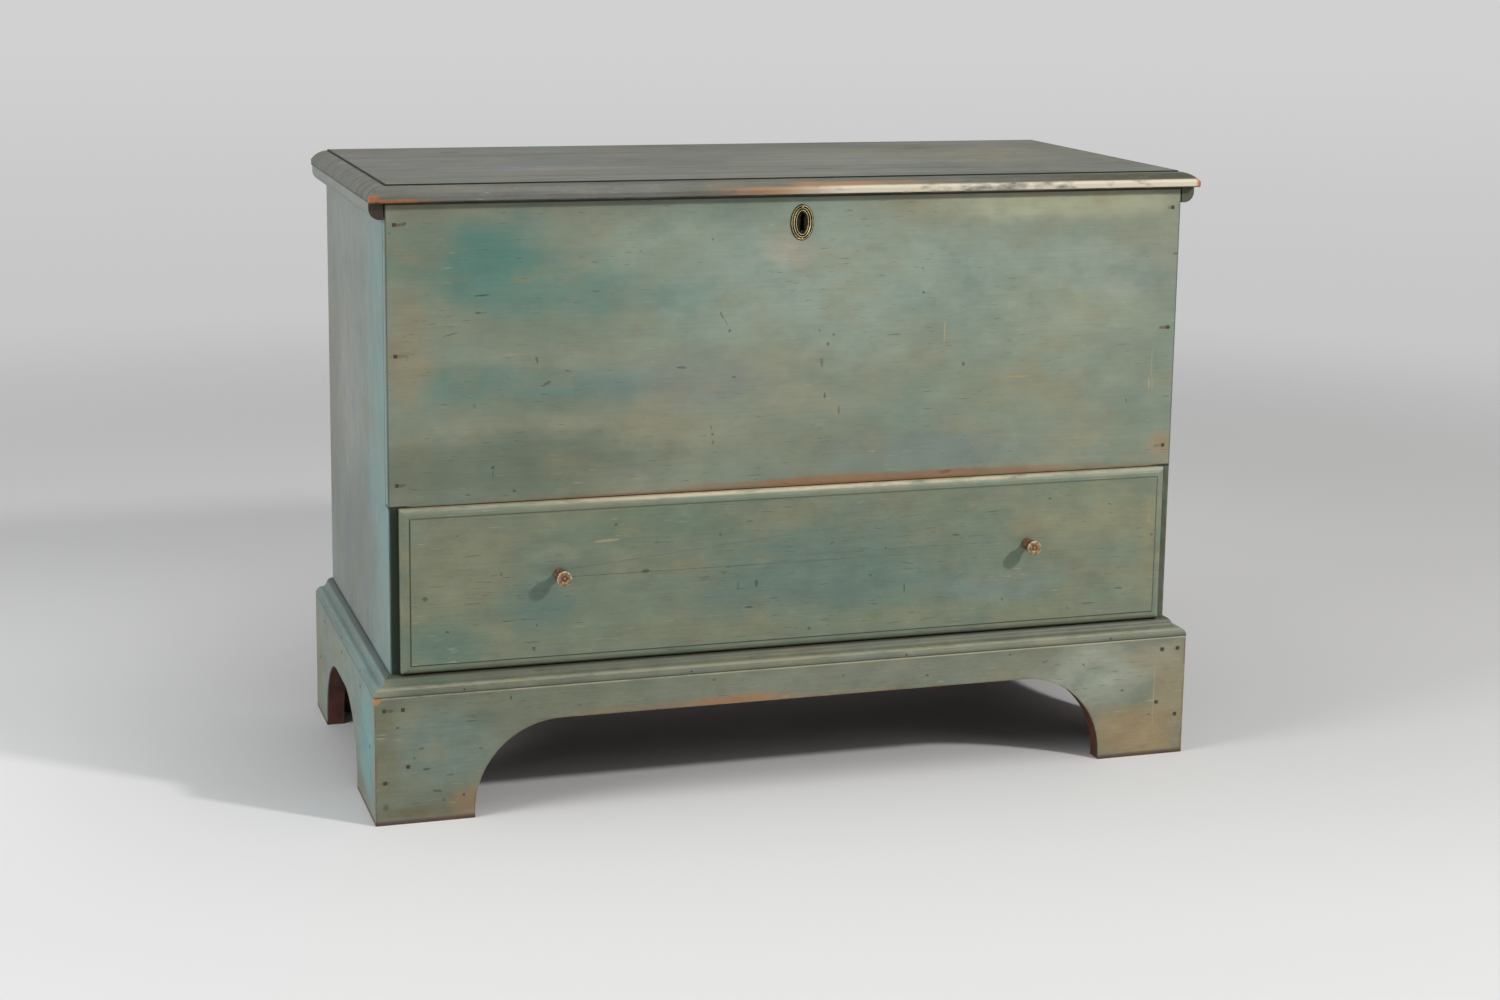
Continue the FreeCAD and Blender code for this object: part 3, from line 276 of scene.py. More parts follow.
BARE_INSIDE = ((168, 128, 84), (128, 88, 52))  # the light and dark bands of bare wood
SAWN = ((98, 54, 42), (66, 36, 30))
CHIPPED = (172, 124, 76)


def patched(net, colour, patches, across, up, wobble):
    """Soft clouds of another tone, each at its own place on the face."""
    for place, height, wide, tall, shade, amount in patches:
        off_side = (across - place * MM) * (1 / (wide * MM))
        off_up = (up - height * MM) * (1 / (tall * MM))
        far = net.far(off_side, off_up) + wobble
        colour = net.mix(net.ramp(far, 1.15, 0.25) * amount, colour, shade)
    return colour


FADED = (1.0, 0.55, 0.8, 0.65)  # how strong one mark after another is
WARM_BLOTCH, COOL_BLOTCH = (138, 128, 98), (92, 120, 112)
LIGHT_DASH, DARK_DASH = (172, 174, 150), (66, 72, 58)
DENT, SCRATCH, RUST = (52, 52, 38), (176, 158, 122), (82, 62, 44)
# Dirt and painted shade for corners and grooves, and the keyhole's hollow painted near black as shade.
DIRT_AND_SHADE, HOLLOW_SHADE = (34, 34, 27), (16, 14, 11)


def marked(net, marks, across, up, ragged):
    """Dents, scratches and nail stains: above 0 inside any of them, some deeper than others.

    Each is its place and height, its length and thickness, and the degrees that it is turned, if any.
    """
    total = None
    for i, (place, height, long, thick, *turned) in enumerate(marks):
        side, rise = across - place * MM, up - height * MM
        turn = math.radians(sum(turned))
        c, s = math.cos(turn), math.sin(turn)
        u = (side * c + rise * s) * (2 / (long * MM))
        v = (rise * c - side * s) * (2 / (thick * MM))
        inside = net.ramp(u * u + v * v + ragged, 1.2, 0.3) * FADED[i % len(FADED)]
        total = inside if total is None else total.most(inside)
    return total


def painted(name, grain, tones, patches=(), marks=(), scratches=(), rust=(), *, seed, worn, rub,
            bloom=(186, 176, 150), bare=BARE_INSIDE, plane="xz", outside=None, reach=5 * MM, trims=(),
            spare=None, dark=None, dark_tone=None, grime=0, lines=1, mottle=0.5, streaks=0,
            inside=None, gloss=0.42):
    """Old paint, thin and blotchy, over pine.

    tones: the paint's two main tones. patches: other tones at their places. outside(net) is above 0
    where the wood is painted. Each of trims is a place(net) with a tone of its own: wear, and on some
    rounded crests a painted highlight too. spare(net) takes wear away, dark(net) is 1 where the paint
    is nearly black: dark paint and dirt on some parts, painted shade in steps, joints and under
    overhangs on others. grime darkens corners and grooves with dirt and painted shade, and
    inside(net) is 1 in a hole, which is painted near black as its shade.
    """
    net = Coat(name)

    def drawn(along, across, detail, rough, shift):
        """Noise drawn out along the grain, of this board's own."""
        return net.noise(stretched(grain, along, across), detail, rough, seed + shift)

    across, up = (getattr(net, axis) for axis in plane)
    grains = drawn(16, 300, 4, 0.6, 1)
    brush = drawn(2.2, 70, 3, 0.55, 5)
    wobble = (drawn(6, 9, 4, 0.6, 2.2) - 0.5) * 1.9 + (brush - 0.5) * 0.3

    cloud = drawn(2.2, 4.2, 3, 0.55, 0)
    colour = net.mix(net.ramp(cloud, 0.38, 0.62), tones[0], tones[1])
    colour = patched(net, colour, patches, across, up, wobble)
    blotch = drawn(11, 20, 4, 0.62, 4)
    colour = net.mix(net.ramp(blotch, 0.5, 0.70) * 0.34, colour, WARM_BLOTCH)
    colour = net.mix(net.ramp(blotch, 0.48, 0.30) * 0.28, colour, COOL_BLOTCH)
    smear = drawn(22, 36, 4, 0.65, 3)
    colour = net.shaded(colour, (smear - 0.5) * mottle + (grains - 0.5) * (0.42 * lines)
                        + (brush - 0.5) * (0.16 * lines + streaks) + 1)

    dash = drawn(42, 430, 2, 0.5, 6)
    where = drawn(7, 11, 2, 0.5, 7)
    colour = net.mix(net.ramp(dash, 0.63, 0.73) * net.ramp(where, 0.46, 0.60) * 0.38,
                     colour, LIGHT_DASH)
    colour = net.mix(net.ramp(dash, 0.38, 0.28) * net.ramp(where, 0.58, 0.44) * 0.6,
                     colour, DARK_DASH)

    spot, pick = net.cells(stretched(grain, 19, 24), seed + 8)
    ragged = (net.noise((300, 300, 300), 2, 0.6, seed + 9) - 0.5) * 2.2
    dents = net.ramp(spot + ragged * 0.02, 0.055, 0.020) * net.ramp(pick, 0.55, 0.62) * 0.8
    found = marked(net, marks, across, up, ragged)
    if found:
        dents = dents.most(found)
    colour = net.mix(dents * 0.6, colour, DENT)
    lifted = marked(net, scratches, across, up, ragged)
    if lifted:
        colour = net.mix(lifted * 0.55, colour, SCRATCH)
    rusty = marked(net, rust, across, up, ragged)
    if rusty:
        colour = net.mix(rusty * 0.7, colour, RUST)

    edge = net.edge(reach)
    gnaw = (drawn(40, 130, 3, 0.6, 10) - 0.5) * 0.34
    sweep = (drawn(4, 6, 2, 0.5, 11) - 0.5) * 0.40
    patchy = net.ramp(net.noise((30, 30, 30), 4, 0.65, seed + 12), 0.42, 0.60, 0.0, 1.4)
    use = edge * worn * patchy + (gnaw + sweep) * edge.least(0.12) * 4
    if spare:
        use = use * (1 - spare(net))
    colour = net.mix(net.ramp(use, 0.035, 0.11) * 0.85, colour, rub)
    colour = net.mix(net.ramp(use, 0.12, 0.27) * 0.80, colour, bloom)
    broken = net.ramp(gnaw + sweep * 0.6 + (smear - 0.5) * 0.2, -0.13, 0.04)
    # Worn tones, and on some rounded crests a painted highlight as well.
    for place, shade in trims:
        colour = net.mix(place(net) * broken, colour, shade)
    # Nearly black: dark paint and dirt on some parts, painted shade in steps, joints and under overhangs
    # on others.
    if dark:
        colour = net.mix(dark(net) * ((smear - 0.5) * 0.8 + 1.0), colour, dark_tone)
    # Dirt and painted shade: darker in corners and grooves, found by ambient occlusion.
    if grime:
        colour = net.mix(net.ramp(net.crevice(9 * MM), 0.75, 0.25) * grime, colour, DIRT_AND_SHADE)

    height = grains * 0.5 + brush * 0.35 - dents * 1.6 + cloud * 0.6 - net.ramp(use, 0.03, 0.1) * 0.5
    if outside:
        skin = net.ramp(outside(net) + gnaw * 0.004, -0.6 * MM, 0.6 * MM)
        wood, _ = pine(net, grain, *bare)
        colour = net.mix(skin, wood, colour)
    # painted shade: the keyhole's walls near black
    if inside:
        colour = net.mix(inside(net), colour, HOLLOW_SHADE)
    net.bump(height, 0.4 * MM)
    rough = 0.46 + grains * 0.18 + net.ramp(use, 0.03, 0.2) * 0.05 - cloud * 0.05
    return net.finish(colour, rough, Specular_IOR_Level=gloss)


def bare_wood(name, grain, light, dark, age=1.0):
    """Unpainted pine, paler on its edges, with painted shade darkening its corners."""
    net = Coat(name)
    colour, figure = pine(net, grain, light, dark, age)
    edge = net.edge(4 * MM, 4)
    colour = net.mix(net.ramp(edge, 0.05, 0.2) * 0.4, colour, (190, 160, 120))
    # painted shade: darker in corners and grooves, found by ambient occlusion
    colour = net.mix(net.ramp(net.crevice(30 * MM, 4), 0.8, 0.2) * 0.55, colour, (44, 32, 22))
    net.bump(figure, 0.4 * MM)
    return net.finish(colour, 0.62 + figure * 0.2, Specular_IOR_Level=0.3)


# ------------ the paint of each part
OLIVE, GREEN = (133, 136, 116), (119, 133, 119)
SIDE_TONES = ((137, 141, 136), (129, 136, 130))
PALE, SLATE = (140, 156, 144), (118, 130, 128)

FRONT_PATCHES = (
    (0, 680, 430, 120, PALE, 0.70),
    (-436, 716, 180, 60, (76, 120, 109), 0.90),
    (-300, 668, 210, 50, (92, 124, 112), 0.80),
    (-387, 553, 170, 34, (92, 122, 110), 0.75),
    (-255, 552, 130, 36, (98, 124, 120), 0.65),
    (-330, 622, 200, 28, (108, 122, 106), 0.40),
    (-300, 526, 220, 22, (104, 117, 100), 0.50),
    (-148, 548, 140, 56, SLATE, 0.55),
    (-515, 600, 40, 130, (138, 131, 106), 0.75),
    (-500, 748, 56, 52, (118, 125, 108), 0.75),
    (-508, 470, 50, 60, (118, 118, 94), 0.70),
    (-330, 455, 250, 56, (98, 108, 92), 0.90),
    (60, 452, 330, 44, (118, 122, 102), 0.60),
    # paler paint along the top under the lid, also painted light against the lid's shadow
    (346, 772, 240, 26, (164, 166, 138), 0.80),
    (-22, 716, 36, 24, (160, 158, 144), 0.60),
    (20, 770, 90, 26, (138, 152, 140), 0.60),
    (480, 478, 80, 60, (114, 126, 110), 0.75),
    (200, 446, 180, 34, (112, 126, 122), 0.60),
    (376, 612, 150, 90, (146, 150, 130), 0.65),
    (420, 690, 120, 50, (140, 152, 142), 0.55),
    (512, 690, 40, 60, (124, 132, 122), 0.50),
    (290, 520, 190, 50, (132, 138, 116), 0.55),
    (525, 440, 26, 26, (152, 122, 84), 0.60),
    (120, 412, 420, 7, (140, 100, 68), 0.80),
)
FRONT_MARKS = (
    (-516, 764, 5, 4), (-535, 752, 4, 4, 30), (-337, 557, 12, 5, 24), (-342, 554, 5, 3),
    (-107, 637, 12, 2, -62), (-101, 627, 11, 2, -60), (-96, 616, 4, 5), (30, 570, 5, 14),
    (35, 526, 3, 9), (-120, 490, 3, 6, 20), (-118, 481, 4, 5, 20), (-117, 470, 3, 6),
    (-407, 452, 5, 5), (-407, 444, 2, 14), (-120, 735, 3, 3), (208, 414, 20, 5, 8),
    (-420, 672, 20, 2, 4), (-460, 624, 20, 2, 14), (-425, 650, 8, 4), (168, 690, 4, 3),
    (170, 658, 4, 4), (-430, 532, 5, 6), (-350, 588, 4, 9, 10), (-310, 572, 8, 3, -10),
    (38, 594, 5, 5), (26, 612, 4, 4), (46, 606, 4, 4), (55, 505, 4, 12), (230, 560, 5, 6),
    (470, 500, 4, 5), (-160, 570, 16, 4, -4), (-90, 555, 8, 3), (-380, 420, 5, 4), (-440, 418, 8, 3),
)
FRONT_SCRATCHES = (
    (202, 606, 2.5, 30), (202, 592, 4, 8), (202, 601, 4, 6), (507, 548, 2, 50), (504, 522, 3, 22),
    (509, 522, 3, 22), (310, 540, 40, 2), (-380, 596, 34, 2),
)
FRONT_RUST = (
    (-524, 763, 20, 4.5), (-524, 599, 27, 5.5), (-525, 435, 17, 4.5), (526, 763, 14, 5, 8),
    (524, 599, 20, 5), (522, 435, 20, 4, 6), (536, 700, 10, 4),
)
DRAWER_PATCHES = (
    (10, 300, 260, 90, (95, 115, 105), 0.85),
    (-479, 225, 70, 36, (92, 118, 104), 0.75),
    (-453, 318, 76, 74, (124, 126, 102), 0.70),
    (-200, 366, 160, 28, (98, 116, 98), 0.60),
    (400, 345, 160, 60, (132, 132, 104), 0.75),
    (480, 260, 60, 60, (124, 130, 108), 0.60),
    (280, 252, 110, 28, (110, 126, 118), 0.65),
    (-352, 272, 56, 34, (88, 114, 104), 0.70),
    (-324, 336, 30, 16, (132, 136, 116), 0.60),
    (324, 336, 34, 18, (132, 126, 100), 0.60),
    (-130, 222, 250, 24, (116, 120, 98), 0.60),
    (150, 222, 300, 20, (120, 126, 102), 0.50),
    (505, 300, 14, 90, (134, 128, 98), 0.50),
)
DRAWER_MARKS = (
    (-358, 215, 6, 6, 20), (-362, 224, 24, 2), (-354, 246, 3, 3), (-456, 369, 3, 3), (14, 215, 5, 4),
    (387, 217, 4, 4), (510, 313, 5, 4), (463, 240, 14, 4), (-498, 290, 7, 6), (45, 330, 8, 4, 30),
    (120, 318, 3, 3), (150, 296, 22, 2, -12), (148, 262, 2, 14), (100, 282, 6, 4), (-250, 372, 5, 4),
    (-110, 350, 5, 6), (-60, 282, 5, 11), (-85, 280, 4, 12), (-470, 245, 5, 4), (-400, 316, 5, 6),
    (-210, 308, 12, 6), (-195, 345, 12, 3), (220, 330, 12, 3), (356, 372, 5, 4), (-70, 250, 12, 3),
    (-70, 366, 10, 3, 10), (445, 360, 6, 2, -20), (290, 236, 4, 6),
)
DRAWER_SCRATCHES = ((-262, 352, 40, 4, 3), (-300, 240, 24, 2), (505, 335, 2, 12))
BASE_PATCHES = (
    (-480, 104, 90, 66, (110, 126, 116), 0.75),
    (-552, 90, 22, 120, (110, 108, 86), 0.65),
    (-444, 20, 32, 24, (134, 112, 84), 0.90),
    (-520, 14, 60, 10, (104, 92, 66), 0.70),
    (-100, 126, 120, 12, (150, 110, 74), 0.80),
    (-250, 128, 90, 8, (130, 112, 82), 0.50),
    (80, 126, 120, 8, (134, 122, 92), 0.50),
    (-330, 152, 170, 22, (112, 118, 98), 0.60),
    (140, 150, 260, 22, (124, 128, 112), 0.60),
    (438, 130, 100, 50, (152, 156, 140), 0.80),
    (500, 30, 90, 46, (148, 128, 96), 0.90),
    (545, 90, 36, 90, (150, 134, 100), 0.60),
    (520, 140, 60, 34, (150, 146, 124), 0.60),
)
BASE_MARKS = (
    (-536, 128, 5, 3), (-430, 92, 5, 4), (-300, 138, 4, 3), (60, 150, 5, 3), (180, 141, 6, 3),
    (352, 146, 10, 4, 20), (410, 138, 4, 3), (512, 58, 6, 4), (-390, 156, 3, 6), (-515, 86, 5, 5),
    (-120, 158, 5, 3), (300, 160, 5, 4), (-500, 70, 10, 4, 10), (-470, 60, 12, 3),
    (-486, 40, 14, 4, -8), (-506, 98, 8, 4), (-452, 32, 5, 5), (-478, 28, 6, 5), (470, 96, 6, 5),
    (-260, 112, 6, 3),
)
BASE_SCRATCHES = ((519, 90, 1.6, 110), (-20, 128, 14, 3), (200, 131, 10, 3))
BASE_RUST = (
    (-545, 151, 11, 5), (-552, 56, 16, 5, 8), (-552, 24, 9, 9), (523, 75.5, 9, 5), (529, 151, 9, 7),
    (552, 151, 10, 8),
)
SIDE_PATCHES = (
    (-170, 500, 120, 460, (124, 148, 144), 0.85),
    (-222, 520, 36, 420, (112, 152, 153), 0.80),
    (-140, 300, 90, 200, (122, 144, 140), 0.60),
    (100, 480, 140, 240, (146, 149, 144), 0.70),
    (215, 420, 70, 320, (128, 124, 114), 0.60),
    (40, 300, 240, 150, (116, 121, 118), 0.80),
    (120, 730, 240, 60, (142, 147, 144), 0.50),
)
BASE_SIDE_PATCHES = (
    (-200, 90, 80, 100, (106, 150, 148), 0.90),
    (-60, 140, 110, 34, (124, 138, 130), 0.70),
    (120, 140, 130, 30, (130, 132, 116), 0.70),
    (240, 80, 60, 100, (128, 126, 102), 0.70),
    (-150, 16, 90, 16, (122, 112, 88), 0.60),
)
LID_PATCHES = (
    (-380, 0, 280, 200, (112, 113, 110), 0.70),
    (120, 60, 240, 160, (124, 125, 115), 0.60),
    (300, 170, 100, 36, (90, 88, 74), 0.75),
    (390, -40, 160, 130, (116, 116, 104), 0.60),
    (-60, 200, 280, 50, (100, 100, 88), 0.60),
    (420, 120, 70, 30, (134, 130, 112), 0.55),
    (60, -175, 440, 36, (120, 122, 110), 0.55),
    (230, -120, 100, 24, (88, 90, 78), 0.50),
    (-330, 120, 120, 30, (98, 98, 90), 0.50),
    (-250, -60, 180, 30, (128, 130, 126), 0.50),
    (500, 60, 50, 200, (104, 102, 88), 0.50),
    (360, 40, 200, 180, (120, 117, 102), 0.55),
)
LID_MARKS = (
    (-380, 190, 30, 10), (300, 150, 60, 12), (420, 60, 10, 8), (160, 10, 6, 8), (60, -120, 60, 8),
    (-60, -150, 40, 6), (260, -60, 30, 8, 4), (-460, -30, 30, 6), (100, -190, 40, 6, -4),
    (-200, -190, 50, 5), (340, -190, 26, 6), (470, -120, 24, 8, 6),
)


def front_side(net):
    """Painted on its face and its two ends, bare behind."""
    return ((FRONT + 2 * MM) - net.y).most(net.x.size() - (CASE_HALF - 1.5 * MM))


def lap_joint(net):
    """Grime in the joints between the front board and the side boards."""
    upright = net.band(net.y - LAP_BACK, 1.6, 0.6) * net.past(net.z, LAP_LOW, -2, 0)
    level = net.band(net.z - LAP_LOW, 2.2, 1) * net.past(net.y, LAP_BACK, 2, 0)
    return upright.most(level * net.ramp(net.x.size(), 0.505, 0.525))


def front_ends(net):
    """The front board's outer corners, where paint has gathered instead of wearing off."""
    return net.past(net.x.size(), CASE_HALF, -12, -6)


def front_joints_and_shade(net):
    """Old paint in the board's joints; painted shade on its upright corners and close under the lid."""
    # painted shade on the board's upright corners
    corner = net.past(net.x.size(), CASE_HALF, -2.2, -0.4) * 0.6
    corner = corner * net.past(net.y, FRONT, 8, 4)
    # a painted shadow of the lid's edge along the board's top
    under_lid = net.past(net.z, LAP[1].z, -4.1, -3.4)
    return lap_joint(net).most(corner).most(under_lid)


def front_cheek(net):
    """The board's two ends, painted with the chest's sides."""
    end = net.past(net.x.size(), CASE_HALF, -1.6, -0.6)
    return end * net.past(net.y, FRONT, 1, 3)


def front_foot(net):
    """The board's lower edge above the drawer, rubbed to brown."""
    along = net.ramp(net.x, -0.40, -0.20, 0.15, 0.65) * net.ramp(net.x, 0.1, 0.3, 1, 0.5)
    return net.past(net.z, LAP_LOW, 4, 1.6) * along


def keyhole_walls(net):
    """The sides of the keyhole, behind the front board's face, painted near black as shade."""
    near = net.band(net.x, 7, 6) * net.band(net.z - OVAL_MIDDLE.z, 17, 16)
    return near * net.past(net.y, FRONT, 0.1, 0.6)


def drawer_face(net):
    """Painted on its face and over most of its lip, bare behind."""
    return (DRAWER[0].y + 13.5 * MM) - net.y


def drawer_crest_wear_and_highlight(net):
    """The rounded top of the drawer's lip: rubbed to cream by hands and rags, and a painted highlight.
    """
    top = net.past(net.z, DRAWER[1].z, -5, -1.8)
    face = net.past(net.y, DRAWER[0].y, 15, 12)
    return top * face * net.ramp(net.x, -0.42, -0.14, 0.35, 1) * net.ramp(net.x, 0.2, 0.42, 1, 0.5)


DRAWER_STEP = 12 * MM  # the step round the drawer's face, inside its outline
LID_STEP = 23 * MM  # the step of the lid's thumbnail edge, inside its front and its ends


def outside_step(net):
    """Distance outwards from the step round the drawer's face."""
    gaps = []
    for axis in "xz":
        low, high = (getattr(corner, axis) for corner in DRAWER)
        gaps.append((getattr(net, axis) - (low + high) / 2).size() - ((high - low) / 2 - DRAWER_STEP))
    return gaps[0].most(gaps[1])


def drawer_step_dirt_and_shade(net):
    """Dirt and painted shade in that step, and painted shade along the bottom of the drawer's lip."""
    line = net.band(outside_step(net) - 0.4 * MM, 1.3, 0.4)
    line = line * net.past(net.z, DRAWER[1].z, -16, -10, 0.85, 0.55)
    # painted shade on the lowest millimetres of the lip
    return line.most(net.past(net.z, DRAWER[0].z, 3.5, 1) * 0.95)


def drawer_face_zone(net):
    """The flat field and its step, which no hand has worn through."""
    return net.ramp(outside_step(net), 4 * MM, 1 * MM)


def stile(net):
    """A side board's outer face and its front edge."""
    return (net.x.size() - (CASE_HALF - 1.5 * MM)).most((FRONT + 1.5 * MM) - net.y)


def stile_shade(net):
    """The narrow front edge beside the drawer, nearly black with old paint, dirt and a painted shadow of
    the lip.
    """
    edge = net.past(net.y, FRONT, 1.6, 0.6)
    # painted shade, deepest next to the drawer's lip
    edge = edge * net.past(net.x.size(), CASE_HALF, -0.2, -3, 0.5, 1.1)
    return (edge * net.ramp(net.x, 0.3, 0.5, 1, 0.45)).most(lap_joint(net))


def stile_olive(net):
    """The same edge at the right end, browner and lighter."""
    return net.past(net.y, FRONT, 1.6, 0.6) * net.ramp(net.x, 0.3, 0.5)


def base_outside(net):
    """The base's outer faces; its sawn edges and its back stay bare."""
    return ((BASE[0].y + 1.5 * MM) - net.y).most(net.x.size() - (BASE[1].x - 1.5 * MM))


def base_chip(net):
    """The broken corner where front and side of the base meet under the moulding."""
    side = (net.x + BASE[1].x) * (1 / (9 * MM))
    back = (net.y - BASE[0].y) * (1 / (6 * MM))
    rise = (net.z - BASE[1].z) * (1 / (8 * MM))
    return net.ramp(side * side + back * back + rise * rise, 1.5, 0.4) * 1.4


def base_rim(net):
    """The base's upper edge, a thin broken line of pale ground under the moulding."""
    return net.past(net.z, BASE[1].z, -2.6, -1.2) * 0.6


def base_rim_zone(net):
    """The upper edge keeps its paint under that line, but for the left corner."""
    return net.past(net.z, BASE[1].z, -7, -4) * net.ramp(net.x, -0.556, -0.548)


def base_scuff(net):
    """The lowest few millimetres of the feet, dark from floors and mops."""
    return net.ramp(net.z, 8 * MM, 2.5 * MM) * 0.9


def nose_rise(net, middle, half):
    """A soft band at a height on the lid's front edge, below its thumbnail curve."""
    front = net.past(net.y, LID[0].y, 12, 7)
    return front * net.band(net.z - (LID[0].z + middle * MM), half, 0.6 * half)


def nose_tan(net):
    """Bare wood on the lid's front edge: low on the left, over its full height above the lock."""
    low = nose_rise(net, 5.5, 7) * net.ramp(net.x, -0.15, -0.06)
    full = nose_rise(net, 10, 12) * net.ramp(net.x, -0.04, 0.01)
    return low.most(full) * net.ramp(net.x, 0.24, 0.06)


def nose_shade(net):
    """The upper curve of the edge, darker towards the right end."""
    front = net.past(net.y, LID[0].y, 20, 16)
    rise = net.past(net.z, LID[0].z, 10, 12.5)
    return front * rise * net.ramp(net.x, 0.1, 0.5, 0, 0.95)


def nose_cream_wear_and_highlight(net):
    """The lower half of the edge, from the middle to the right end: rubbed to cream, and a painted
    highlight.
    """
    return nose_rise(net, 5.6, 6.6) * net.ramp(net.x, -0.06, 0.10, 0, 1.25)


def nose_tips(net):
    """The lid's two front corners, worn to orange wood."""
    specks = net.ramp(net.noise((140, 140, 140), 3, 0.6, 5), 0.36, 0.52, 0.25, 1)
    left = net.ramp(net.x, -0.543, -0.554) * nose_rise(net, 4, 7)
    left = left.most(net.ramp(net.x, -0.46, -0.53) * nose_rise(net, 2, 3.5)) * specks
    right = net.past(net.x, LID[1].x, -8, -2)
    return left + right * net.past(net.y, LID[0].y, 30, 0)


def nose_line(net):
    """The lower corner of the edge, a thin brown line all along and round the ends."""
    front = net.past(net.y, LID[0].y, 9, 5)
    ends = net.past(net.x.size(), LID[1].x, -9, -5)
    return front.most(ends) * net.past(net.z, LID[0].z, 2.2, 1)


def inside_step(net):
    """Distance inwards from the step of the lid's thumbnail edge, which runs round front and ends."""
    front = net.y - (LID[0].y + LID_STEP)
    return front.least((LID[1].x - LID_STEP) - net.x.size())


def lid_step_dirt_and_shade(net):
    """Dirt and painted shade in that step."""
    line = net.band(inside_step(net) - 0.5 * MM, 2.4, 0.9)
    return line * net.past(net.z, LID[0].z, 9, 12)


def lid_field(net):
    """The lid's flat top, whose paint has stayed."""
    return net.ramp(inside_step(net), -4 * MM, -1 * MM)


def moulding_crest_wear_and_highlight(net):
    """The moulding's round along its crest: rubbed pale, and a painted highlight."""
    return net.band(net.z - (MOULDING[0].z + 9.5 * MM), 2.2, 0.6) * 0.6


def moulding_corner(net):
    """The mitre at the front left, rubbed pale."""
    side, rise = (net.x + BASE[1].x) * (1 / (34 * MM)), (net.y - MOULDING[0].y) * (1 / (30 * MM))
    return net.ramp(side * side + rise * rise, 1.2, 0.2) * 0.4


def moulding_edge_shade(net):
    """Painted shade where the moulding meets the case above and the base below."""
    above = net.past(net.z, MOULDING[1].z, -5.5, -2.5) * 0.8
    return above.most(net.past(net.z, MOULDING[0].z, 2.2, 0.8) * 0.75)


def lid_outside(net):
    """Painted above, and a finger's breadth round the underside."""
    above = net.z - (LID[0].z + 0.8 * MM)
    return above.most(net.x.size() - (LID[1].x - 14 * MM)).most((LID[0].y + 14 * MM) - net.y)


def cleat_end(net):
    """A cleat's front end, where the grain has drunk the paint."""
    return net.past(net.y, FRONT, 4, 1.5)


